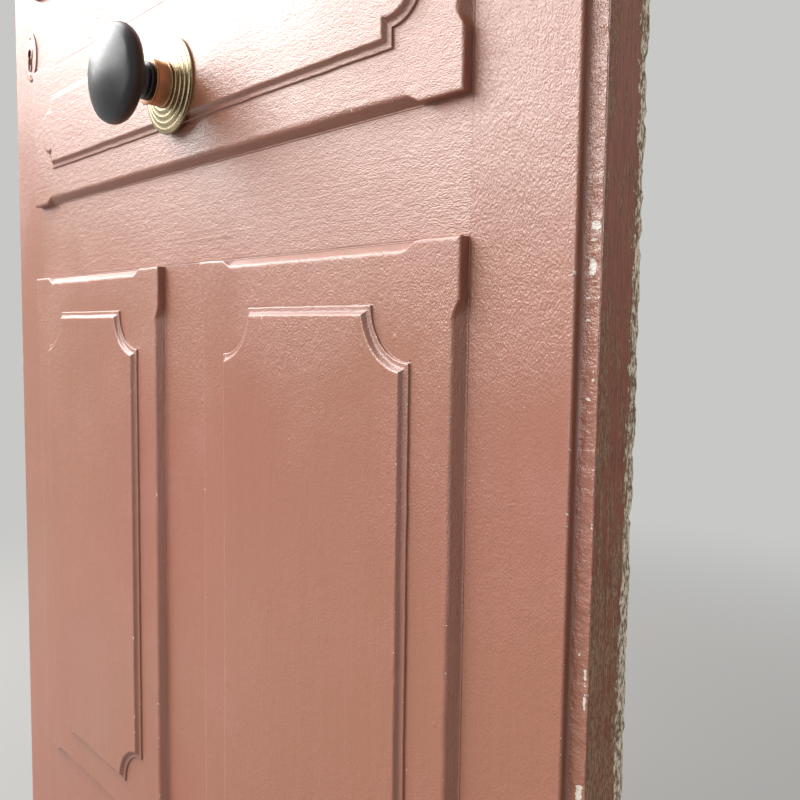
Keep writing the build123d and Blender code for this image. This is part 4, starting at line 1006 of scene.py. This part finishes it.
def stile_surface(sizes, side):
    """A stile: its stepped section carried up the leaf, the step's floor ridged by two noises, the room-side
    arris splintered away by two more, and the edge drawn in where iron is let in. The lock stile (side -1)
    mirrors the hinge stile. Returns the points, their masks and where the bare edge shows."""
    step_out, face = FRONT - sizes.step_depth, LEAF_HALF - sizes.step_width
    corners = np.array([(OPENING_HALF, -FRONT), (LEAF_HALF, -FRONT), (LEAF_HALF, step_out), (face, step_out),
                        (face, FRONT), (OPENING_HALF, FRONT)])
    back_round, hollow_round = 1.6, 2.2
    rounds = [sizes.joint_round, back_round, sizes.arris_round, hollow_round, sizes.arris_round * 1.3,
              sizes.joint_round]
    reach, depth = INLETS[side]
    gap, gaps = (sizes.station_gap, [6.0, 4.0, 3.0, 3.0, 6.0, 6.0]) if side < 0 else (
        sizes.edge_station_gap, [6.0, 2.2, 1.05, 1.5, 6.0, 7.0])
    outline, normals = rounded_outline(corners, rounds, gaps, [(1, reach - 0.05), (1, reach + 0.05)])
    arris = nearness(outline, corners[[1, 2, 4]], 2.2)
    joints = nearness(outline, corners[[0, 5]], 0.5)
    hollow = nearness(outline, corners[[3]], 1.8)
    ragged = nearness(outline, corners[[1]], 3.5)
    inlets = [np.array(corners_of(iron))[:, 2] for iron in (("lock_case",) if side < 0 else HINGES)]
    stations = bar_stations(0.0, LEAF_HEIGHT, gap, 0.8, np.ravel(inlets))
    nicks = 1.1 * np.maximum(arris, ragged)
    points = bar_surface(outline, normals, stations, True, sizes.unevenness, nicks, 10 + side)
    x, y, z = points[..., 0], points[..., 1], points[..., 2]
    ridges = lattice_noise(points, (30, 6, 5.5), 21) * 0.35 + lattice_noise(points, (4, 9, 3.0), 22) * 0.3
    floor = ease(face + 0.4, face + 2.0, outline[:, 0]) * (np.abs(outline[:, 1] - step_out) < 0.6)
    y -= ridges * floor[None]
    splinters = 0.6 * lattice_noise(points, (3, 3, 4.5), 23) + 0.55 * lattice_noise(points, (3, 3, 19), 24)
    splinters = np.clip(splinters + 0.35, 0, 1.2) * 1.5 * ragged[None]
    x -= splinters
    y -= splinters
    x[:] = np.minimum(x, LEAF_HALF)
    for low, high in inlets:
        inside = (z > low) & (z < high) & (y > FRONT - reach) & (x > LEAF_HALF - 6)
        x[:] = np.where(inside, np.minimum(x, LEAF_HALF - depth), x)
        y[:] = np.where(inside & (y > FRONT - 1.0), FRONT, y)
    x *= side
    caps = (stations[2] < 1)[:, None]
    edge = (outline[:, 0] > LEAF_HALF - 0.7) & (outline[:, 1] < step_out - 0.5)
    beside_top = (z > LEAF_HEIGHT - sizes.step_width) & (outline[None, :, 1] > step_out)
    y[:] = np.where(beside_top, np.maximum(y, -step_out), y)
    masks = {"arris": arris[None] * (1 - caps), "crease": np.maximum(hollow * 0.5, joints * 0.3)[None],
             "chip": chips_and_glints_at(x, z, side) * (y < 2 - step_out), "lumps": floor[None]}
    return points, masks, (edge[None] | caps) * 1.0


def keyhole_reach(angle, grow=0.0):
    """Distance from a point in the keyhole to its rim, by direction: the farther of the round hole's rim and
    the slot's sides or foot."""
    radius, half, drop = KEYHOLE_RADIUS + grow, SLOT_HALF + grow, SLOT_DROP + grow
    cos, sin = np.cos(angle), np.sin(angle)
    round_rim = KEYHOLE_RISE * sin + np.sqrt(np.maximum(radius ** 2 - (KEYHOLE_RISE * cos) ** 2, 0))
    slot = np.minimum(half / np.maximum(np.abs(cos), 1e-6), drop / np.maximum(-sin, 1e-6))
    return np.where(sin < 0, np.maximum(round_rim, slot), round_rim)


def keyhole_centre():
    """The point inside the keyhole from which its whole rim is in sight."""
    low, high = corners_of("keyhole_escutcheon")
    return np.array([(low[0] + high[0]) / 2, (low[2] + high[2]) / 2 - PLATE_RISE])


def keyhole_rings(angle, rings):
    """Rings round the keyhole's centre, each from its reach in every direction and its distance out."""
    centre = keyhole_centre()
    reach, out = (np.array([ring[k] * np.ones(len(angle)) for ring in rings]) for k in (0, 1))
    return np.stack([centre[0] + reach * np.cos(angle), -out, centre[1] + reach * np.sin(angle)], axis=2)


def bore_keyhole(stile):
    """Cuts the keyhole through the stile, a hair wider than in the solid."""
    angle = np.arange(96) * 2 * np.pi / 96
    reach, past = keyhole_reach(angle, 0.2), FRONT + 5
    points = keyhole_rings(angle, [(0, -past), (reach, -past), (reach, past), (0, past)])
    cutter = make_piece("keyhole_cutter", points, [], [], "painted_wood")
    cut = stile.modifiers.new("keyhole", "BOOLEAN")
    cut.object, cut.operation, cut.solver = cutter, "DIFFERENCE", "EXACT"
    bpy.context.view_layer.update()
    finished = bpy.data.meshes.new_from_object(stile.evaluated_get(bpy.context.evaluated_depsgraph_get()))
    stile.modifiers.clear()
    old = stile.data
    stile.data = finished
    bpy.data.meshes.remove(old)
    bpy.data.objects.remove(cutter)
    if len(finished.polygons) < 1000:
        raise RuntimeError("the keyhole's cut left no stile")


# Turned profiles of the knob, from back to front, as (out, radius) pairs

def rose_profile(back, face, radius, hub):
    """The rose: a thin rim, then four steps between the rim and the hub. Each step is a quarter-round cove, a
    small rounded lip and a flat. Returns the profile and how dirty each point is."""
    rings, rim = 4, 1.8
    width, rise = (radius - hub) / rings, (face - back - rim) / rings
    cove = np.radians(np.linspace(0, 90, 7))
    profile = [(back, 0.0), (back, radius - 0.3), (back + 0.3, radius), (back + rim - 0.35, radius),
               (back + rim - 0.1, radius - 0.04)]
    crease = [0, 0, 0.5, 0.1, 0.1]
    for step in range(rings):
        wide, low = radius - step * width, back + rim + step * rise
        profile += list(zip(low + 0.9 * rise * (1 - np.cos(cove)), wide - 0.66 * width * np.sin(cove)))
        profile += [(low + 0.97 * rise, wide - 0.72 * width), (low + rise, wide - 0.78 * width),
                    (low + rise, wide - width + 0.25)]
        crease += [0.75, 0.5, 0.3, 0.15, 0.05, 0, 0, 0, 0, 0.35]
    return np.array([*profile, (face, 0.0)]), np.array([*crease, 0.5])


def ferrule_profile(back, front, radius):
    """The ferrule: a bead at each end and a waist between them, with a narrow neck beside each bead. Returns
    the profile and how dirty each point is."""
    bead = 0.9
    waist = radius - bead
    beads = [arc((place, waist), bead, 180, 0, 9) for place in (back + bead, front - bead)]
    shaft = [(back + 2.4 * bead, waist - 0.25), (back + 3.6 * bead, waist - 0.05),
             (front - 3.2 * bead, waist - 0.05), (front - 2.3 * bead, waist - 0.2)]
    profile = np.concatenate([[(back, 0.0), (back, waist)], beads[0], shaft, beads[1], [(front, 0.0)]])
    return profile, np.array([0, 0.8, *[0.1] * 9, 0.7, 0.1, 0.1, 0.6, *[0.05] * 9, 0])


def head_profile(back, front, radius):
    """The head with its neck: a collar, a hollow, the neck, and the head as three arcs that meet without a
    corner. A crown's radius comes from its rise and from where the rim's round has its centre: the rise squared
    plus the centre's radius squared less the round squared, over twice the rise less the round."""
    collar, neck, rim_round, front_rise, back_rise = 15.5, 12.5, 9.0, 17.5, 14.5
    middle, rim_place = front - front_rise, radius - rim_round

    def crown(rise):
        """A crown's radius, and the angle at which it meets the rim's round."""
        size = (rise ** 2 + rim_place ** 2 - rim_round ** 2) / (2 * (rise - rim_round))
        return size, np.degrees(np.arctan2(rim_place, size - rise))

    (back_size, back_lean), (front_size, front_lean) = crown(back_rise), crown(front_rise)
    start = 180 - np.degrees(np.arcsin(neck / back_size))
    back_arc = arc((middle - back_rise + back_size, 0.0), back_size, start, 180 - back_lean, 22)
    rim_arc = arc((middle, rim_place), rim_round, 180 - back_lean, front_lean, 30)[1:-1]
    front_arc = arc((middle + front_rise - front_size, 0.0), front_size, front_lean, 0, 30)
    foot = back_arc[0, 0]
    stem = [(back, 0.0), (back, collar - 0.4), (back + 0.4, collar), (back + 2.2, collar),
            (back + 2.7, collar - 0.3), (back + 3.2, collar - 1.4), (back + 4.4, neck + 0.5),
            (back + 6.2, neck), (foot - 2.0, neck), (foot - 0.6, neck + 0.25), (foot - 0.1, neck + 0.9)]
    profile = np.concatenate([stem, back_arc[back_arc[:, 1] > neck + 1.1], rim_arc, front_arc])
    profile[:, 0] = np.minimum(profile[:, 0], front)
    profile[-1, 1] = 0.0
    return profile


# Operators

class DOOR_OT_stiles(bpy.types.Operator):
    """Build the two stiles with their stepped edges, worn arrises and recesses"""
    bl_idname = "door.stiles"
    bl_label = "Stiles"

    def execute(self, context):
        sizes, finish = joinery_sizes(context), context.scene.paint
        materials = [old_paint("painted_wood_upright", finish), worn_edge(finish)]
        for name, side in (("lock_stile", -1), ("hinge_stile", 1)):
            points, masks, edge = stile_surface(sizes, side)
            piece = make_piece(f"{name}_painted", points, materials, [name], "painted_wood", masks,
                               face_mask=edge)
            if side < 0:
                bore_keyhole(piece)
        return {"FINISHED"}


class DOOR_OT_rails(bpy.types.Operator):
    """Build the four rails between the stiles"""
    bl_idname = "door.rails"
    bl_label = "Rails"

    def execute(self, context):
        sizes, finish = joinery_sizes(context), context.scene.paint
        materials = [old_paint("painted_wood_lying", finish), worn_edge(finish)]
        for k, name in enumerate(RAILS):
            low, high = (corner[2] for corner in corners_of(name))
            corners = [(low, -FRONT), (high, -FRONT), (high, FRONT), (low, FRONT)]
            rounds = [sizes.joint_round] * 4
            if name == "top_rail":
                step_out, face = FRONT - sizes.step_depth, high - sizes.step_width
                corners[2:3] = [(high, step_out), (face, step_out), (face, FRONT)]
                rounds[1:3] = [1.5, sizes.arris_round, 1.4, sizes.arris_round]
            outline, normals = rounded_outline(corners, rounds, 5.0)
            joints = nearness(outline, [corners[0], corners[1], corners[-1], corners[-2]], 0.5)
            stations = bar_stations(-OPENING_HALF, OPENING_HALF, sizes.station_gap, sizes.joint_round)
            points = bar_surface(outline, normals, stations, False, sizes.unevenness, 0 * joints, 30 + k)
            points[..., 1] = np.clip(points[..., 1], -FRONT - 0.4, FRONT)
            points[..., 2] = np.clip(points[..., 2], 0.0, LEAF_HEIGHT)
            outer = (outline[:, 0] < 0.8) if low < 1 else (outline[:, 0] > LEAF_HEIGHT - 0.8)
            ends = np.exp(-((OPENING_HALF - np.abs(stations[0])) / 0.6) ** 2)[:, None]
            masks = {"arris": 0.0, "crease": np.maximum(joints[None], ends) * 0.3, "chip": 0.0}
            make_piece(f"{name}_painted", points, materials, [name], "painted_wood", masks,
                       face_mask=outer * 1.0)
        return {"FINISHED"}


class DOOR_OT_muntins(bpy.types.Operator):
    """Build the two muntins between the panels"""
    bl_idname = "door.muntins"
    bl_label = "Muntins"

    def execute(self, context):
        sizes, finish = joinery_sizes(context), context.scene.paint
        rails = {name: [corner[2] for corner in corners_of(name)] for name in RAILS}
        spans = ((rails["bottom_rail"][1], rails["middle_rail"][0]),
                 (rails["lock_rail"][1], rails["top_rail"][0]))
        for k, (name, (low, high)) in enumerate(zip(MUNTINS, spans)):
            half = corners_of(name)[1][0]
            corners = [(-half, -FRONT), (half, -FRONT), (half, FRONT), (-half, FRONT)]
            outline, normals = rounded_outline(corners, [sizes.joint_round] * 4, 5.0)
            joints = nearness(outline, corners, 0.5)
            stations = bar_stations(low, high, sizes.station_gap, 3 * sizes.joint_round)
            points = bar_surface(outline, normals, stations, True, sizes.unevenness, 0 * joints, 40 + k)
            points[..., 1] = np.clip(points[..., 1], -FRONT - 0.4, FRONT)
            ends = np.exp(-(np.minimum(stations[0] - low, high - stations[0]) / 0.6) ** 2)[:, None]
            masks = {"arris": 0.0, "crease": np.maximum(joints[None] * 0.3, ends * 0.7), "chip": 0.0}
            make_piece(f"{name}_painted", points, [old_paint("painted_wood_upright", finish)], [name],
                       "painted_wood", masks)
        return {"FINISHED"}


class DOOR_OT_panels(bpy.types.Operator):
    """Build the five raised panels with their stopped chamfers and moulded fields"""
    bl_idname = "door.panels"
    bl_label = "Raised Panels"

    def execute(self, context):
        sizes, finish = joinery_sizes(context), context.scene.paint
        upright, lying = (old_paint(f"painted_wood_{way}", finish) for way in ("upright", "lying"))
        for k, name in enumerate(PANELS):
            low, high = corners_of(name)
            bay = [(low[axis] + TONGUE_REACH, high[axis] - TONGUE_REACH) for axis in (0, 2)]
            if name == "wide_panel":
                margins, paint = (sizes.tablet_side, sizes.tablet_end), lying
                cusps = (np.inf, SHOULDER_SHARE * (bay[1][1] - bay[1][0]))
                outline = partial(tablet_ring, margins=margins, shoulder=sizes.tablet_shoulder)
            else:
                margins, paint = (sizes.side_margin, sizes.end_margin), upright
                cusps = (margins[0] + sizes.scoop, margins[1] + sizes.scoop)
                outline = partial(scooped_ring, margins=margins, radius=sizes.scoop)
            edge = PanelEdge(bay, 3.0, cusps, sizes.panel_stop)
            points, masks = panel_surface(edge, sizes, outline, 50 + 5 * k)
            make_piece(f"{name}_painted", points, [paint], [name], "painted_wood", masks)
        return {"FINISHED"}


class DOOR_OT_knob(bpy.types.Operator):
    """Turn the knob's ringed rose, its ferrule and its head, and finish the bolt behind it"""
    bl_idname = "door.knob"
    bl_label = "Centre Knob"

    def execute(self, context):
        metals = context.scene.hardware
        low, high = corners_of("knob_rose")
        centre_z = (low[2] + high[2]) / 2
        radius = {part: corners_of(f"knob_{part}")[1][0] for part in ("rose", "ferrule", "head")}
        rose_face, ferrule_face, head_front = (-corners_of(f"knob_{part}")[0][1] for part in radius)
        rose, rose_dirt = rose_profile(-high[1], rose_face, radius["rose"], radius["ferrule"] + 0.9)
        ferrule, ferrule_dirt = ferrule_profile(rose_face, ferrule_face, radius["ferrule"])
        head = head_profile(ferrule_face, head_front, radius["head"])
        brass, copper = metal("worn_polished_brass", metals), metal("worn_copper_brass", metals)
        black = lacquer("gloss_black", metals)
        for name, profile, material, node, slot, dirt in (
                ("knob_rose_ringed", rose, brass, "knob_rose", "polished_brass", rose_dirt[:, None]),
                ("knob_ferrule_turned", ferrule, copper, "knob_ferrule", "copper_brass", ferrule_dirt[:, None]),
                ("knob_head_turned", head, black, "knob_head", "black_knob", 0.0)):
            points = turned_surface(profile, centre_z, metals.facets)
            make_piece(name, points, [material], [node], slot, {"crease": dirt})
        dress(["knob_bolt", "knob_washer", "knob_nut"], metal("rubbed_steel", metals))
        return {"FINISHED"}


class DOOR_OT_keyhole_plate(bpy.types.Operator):
    """Build the painted-over keyhole plate and finish its pins"""
    bl_idname = "door.keyhole_plate"
    bl_label = "Keyhole Plate"

    def execute(self, context):
        low, high = corners_of("keyhole_escutcheon")
        half = (high - low)[[0, 2]] / 2
        front, plate = -low[1], -low[1] - 1.0
        angle = np.arange(180) * 2 * np.pi / 180
        cos, sin = np.cos(angle), np.sin(angle)
        hole, slot_rim = keyhole_reach(angle), keyhole_reach(angle, 0.12)

        def oval(drawn):
            """Reach to the plate's oval rim, drawn in by a distance: the far root of the line's quadratic."""
            a, b = half[0] - drawn, half[1] - drawn
            u = (cos / a) ** 2 + (sin / b) ** 2
            v = -2 * PLATE_RISE * sin / b ** 2
            w = (PLATE_RISE / b) ** 2 - 1
            return (-v + np.sqrt(v * v - 4 * u * w)) / (2 * u)

        def lip(radius):
            """Reach to a circle about the round hole's centre."""
            return KEYHOLE_RISE * sin + np.sqrt(radius ** 2 - (KEYHOLE_RISE * cos) ** 2)

        # Reach, distance out, arris and crease of each ring, from the back over the oval rim to the keyhole
        rings = [(hole, FRONT - 0.2, 0, 1), (oval(-1.3), FRONT - 0.2, 0, 1), (oval(-1.0), FRONT + 0.1, 0, 1),
                 (oval(-0.3), FRONT + 0.2, 0, 1), (oval(0.0), FRONT + 0.5, 0, 1),
                 (oval(0.1), plate - 0.5, 0, 0.7), (oval(0.35), plate - 0.15, 0.3, 0.1),
                 (oval(0.9), plate, 0.3, 0)]
        rings += [(oval(0.8) * (1 - part) + lip(9.4) * part, plate, 0, 0) for part in (0.2, 0.45, 0.7, 0.9)]
        raised = [(lip(8.5), plate + 0.05, 0, 0.6), (lip(8.0), plate + 0.3, 0, 0.3),
                  (lip(7.7), plate + 0.75, 0.6, 0), (lip(7.1), front, 0.7, 0),
                  (keyhole_reach(angle, 1.2), front, 0.2, 0)]
        # The lip's rings keep clear of the slot's rim, each by a hair more than the next
        rings += [(np.maximum(reach, slot_rim + 0.01 * (8 - k)), *rest)
                  for k, (reach, *rest) in enumerate(raised)]
        rings += [(keyhole_reach(angle, 0.5), front, 0.6, 0), (slot_rim, front - 0.15, 1, 0.3),
                  (hole, front - 0.5, 0.6, 0.8)]
        arris, crease = (np.array([ring[k] for ring in rings], float)[:, None] for k in (2, 3))
        film = old_paint("painted_plate_film", context.scene.paint)
        make_piece("keyhole_plate_painted", keyhole_rings(angle, rings), [film], ["keyhole_escutcheon"],
                   "painted_plate", {"arris": arris, "crease": crease, "chip": 0.0}, close_rows=True)
        dress(["escutcheon_pins"], film)
        return {"FINISHED"}


class DOOR_OT_lock(bpy.types.Operator):
    """Wind the latch spring and finish the rim lock"""
    bl_idname = "door.lock"
    bl_label = "Rim Lock"

    def execute(self, context):
        metals = context.scene.hardware
        low, high = corners_of("latch_spring")
        points = coil_surface(low, high, 0.45, 6)
        steel = metal("rubbed_steel", metals)
        spring = make_piece("latch_spring_coil", points, [steel], ["latch_spring"], "bright_steel")
        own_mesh(spring)
        dress(["bolt_spring"], steel)
        dress(["lock_case"], lacquer("old_black_japan", metals))
        dress(["lock_plate"], metal("brown_lock_steel", metals))
        dress(["latch_bolt", "dead_bolt"], metal("dull_bolt_brass", metals))
        dress(["latch_pull"], metal("worn_polished_brass", metals))
        dress(["lock_screws", "flange_screws"], metal("dark_screw_steel", metals))
        return {"FINISHED"}


class DOOR_OT_hinges(bpy.types.Operator):
    """Finish the three hinge halves and their screws"""
    bl_idname = "door.hinges"
    bl_label = "Hinges"

    def execute(self, context):
        metals = context.scene.hardware
        dress(HINGES, lacquer("painted_hinge_steel", metals))
        dress([f"{hinge}_screws" for hinge in HINGES], metal("dark_screw_steel", metals))
        return {"FINISHED"}


# Soft lights: the value that gives the radiance, place, what it faces, width, height, tint
LIGHTS = {
    "key_light": ("key", (-2.0, -2.3, 2.5), (0.1, 0.0, 0.85), 4.2, 1.8, (1.0, 0.985, 0.97)),
    "top_light": ("top", (-2.3, -0.55, 3.3), (0.0, 0.0, 0.8), 3.0, 3.0, (1.0, 1.0, 1.0)),
    "front_light": ("front", (0.3, -2.9, 0.8), (0.1, 0.0, 0.5), 2.6, 1.8, (1.0, 0.98, 0.96)),
    "back_light": ("fill", (2.9, 2.5, 2.2), (0.0, 0.0, 1.0), 3.0, 3.0, (1.0, 1.0, 1.0)),
}


def place_by_axes(thing, right, up, back, place):
    """Places a light or camera by its right, up and back directions."""
    matrix = np.eye(4)
    matrix[:3] = np.stack([right, up, back, place], axis=1)
    thing.matrix_world = Matrix(matrix.tolist())
    bpy.context.scene.collection.objects.link(thing)


def soft_light(name, place, target, width, height, radiance, tint):
    """A rectangular light that faces a point. Its power is four times its area times its radiance."""
    light = bpy.data.lights.new(name, "AREA")
    light.shape, light.size, light.size_y = "RECTANGLE", width, height
    light.energy = 4 * radiance * width * height
    light.color = tint
    lamp = bpy.data.objects.new(name, light)
    lamp.visible_camera = False
    back = np.subtract(place, target) / np.linalg.norm(np.subtract(place, target))
    right = np.cross((0, 0, 1), back)
    right /= np.linalg.norm(right)
    place_by_axes(lamp, right, np.cross(back, right), back, place)


def seen_rays(sheet):
    """1 for rays from the camera and for rays in mirrors and glass, 0 for rays that carry soft light."""
    path = sheet.add("ShaderNodeLightPath").outputs
    mirrored = sheet.math("MAXIMUM", path["Is Glossy Ray"], path["Is Transmission Ray"])
    return sheet.math("MAXIMUM", path["Is Camera Ray"], mirrored)


def lay_floor(stage):
    """A pale round floor that fades into the background's colour with distance. It is darker for soft light, so
    that it throws little of it back at the door."""
    angle = np.arange(96) * 2 * np.pi / 96
    reach = np.array([0.0, 0.5, 1.0, 1.6, 2.5, 4.0, 7.0, 12.0, 22.0, 40.0])[:, None]
    disc = np.stack([reach * np.cos(angle), reach * np.sin(angle), 0 * reach * angle - 0.0005], axis=2)
    mesh = bpy.data.meshes.new("floor")
    mesh.from_pydata(disc.reshape(-1, 3).tolist(), [], grid_faces(*disc.shape[:2])[:, ::-1].tolist())
    floor = bpy.data.objects.new("floor", mesh)
    bpy.context.scene.collection.objects.link(floor)
    material, sheet, shader, place = new_material("pale_floor")
    seen = seen_rays(sheet)
    join(sheet, shader, Base_Color=sheet.mix(seen, rgba(stage.floor, 0.3), rgba(stage.floor)), Roughness=0.9,
         Specular_IOR_Level=0.1)
    away = sheet.add("ShaderNodeVectorMath", {0: place}, operation="LENGTH").outputs["Value"]
    glow = sheet.add("ShaderNodeEmission", {0: rgba(stage.background), 1: 1.0}).outputs[0]
    blend = sheet.add("ShaderNodeMixShader", {0: sheet.math("MULTIPLY", sheet.fade(away, 1.0, 2.8), seen),
                                              1: shader.outputs[0], 2: glow}).outputs[0]
    sheet.tree.links.new(blend, material.node_tree.get_output_node("CYCLES").inputs[0])
    mesh.materials.append(material)


def hang_background(stage):
    """An even light from all round that the camera and mirrors see as the background's colour."""
    world = bpy.data.worlds.new("studio")
    world.use_nodes = True
    world.node_tree.nodes.clear()
    sheet = Sheet(world.node_tree)
    even = sheet.add("ShaderNodeBackground", {0: (1.0, 1.0, 1.0, 1.0), 1: stage.sky}).outputs[0]
    pale = sheet.add("ShaderNodeBackground", {0: rgba(stage.background), 1: 1.0}).outputs[0]
    both = sheet.add("ShaderNodeMixShader", {0: seen_rays(sheet), 1: even, 2: pale}).outputs[0]
    sheet.add("ShaderNodeOutputWorld", {0: both})
    bpy.context.scene.world = world


def place_camera(stage):
    """The camera at the photograph's place, turned by yaw, then down by pitch, then about its line of sight."""
    yaw, pitch, roll = stage.turn
    ahead = np.array([-np.sin(yaw) * np.cos(pitch), np.cos(yaw) * np.cos(pitch), -np.sin(pitch)])
    right = np.cross(ahead, (0, 0, 1))
    right /= np.linalg.norm(right)
    up = np.cross(right, ahead)
    right, up = right * np.cos(roll) + up * np.sin(roll), up * np.cos(roll) - right * np.sin(roll)
    view = bpy.data.cameras.new("camera")
    view.lens, view.sensor_width, view.sensor_fit = stage.lens, 36.0, "HORIZONTAL"
    view.clip_start, view.clip_end = 0.02, 100.0
    camera = bpy.data.objects.new("camera", view)
    place_by_axes(camera, right, up, -ahead, stage.place)
    bpy.context.scene.camera = camera


class DOOR_OT_stage(bpy.types.Operator):
    """Lay the floor and set the lights, the background and the camera"""
    bl_idname = "door.stage"
    bl_label = "Stage"

    def execute(self, context):
        stage = context.scene.stage
        lay_floor(stage)
        hang_background(stage)
        for name, (value, *setting, tint) in LIGHTS.items():
            soft_light(name, *setting, getattr(stage, value), tint)
        place_camera(stage)
        context.scene.view_settings.view_transform = "Standard"
        return {"FINISHED"}


OPERATORS = (DOOR_OT_stiles, DOOR_OT_rails, DOOR_OT_muntins, DOOR_OT_panels, DOOR_OT_knob,
             DOOR_OT_keyhole_plate, DOOR_OT_lock, DOOR_OT_hinges, DOOR_OT_stage)


class DOOR_PT_sidebar(bpy.types.Panel):
    """Lists the steps and values of the door"""
    bl_label = "Panelled Front Door"
    bl_idname = "DOOR_PT_sidebar"
    bl_space_type = "VIEW_3D"
    bl_region_type = "UI"
    bl_category = "Front Door"

    def draw(self, context):
        """Draws a button for each step, then a box for each group of values."""
        for operator in OPERATORS:
            self.layout.operator(operator.bl_idname)
        for key, group in SETTINGS.items():
            box = self.layout.box()
            box.label(text=key.title())
            for value in group.__annotations__:
                box.prop(getattr(context.scene, key), value)


def register():
    """Registers the values, the steps and the sidebar."""
    for each in (*SETTINGS.values(), *OPERATORS, DOOR_PT_sidebar):
        bpy.utils.register_class(each)
    for key, group in SETTINGS.items():
        setattr(bpy.types.Scene, key, PointerProperty(type=group))


def unregister():
    """Takes away what register added."""
    for key in SETTINGS:
        delattr(bpy.types.Scene, key)
    for each in reversed((*SETTINGS.values(), *OPERATORS, DOOR_PT_sidebar)):
        bpy.utils.unregister_class(each)


def main():
    """Builds every piece in order."""
    register()
    for operator in OPERATORS:
        group, step = operator.bl_idname.split(".")
        getattr(getattr(bpy.ops, group), step)()


if __name__ == "__main__":
    main()
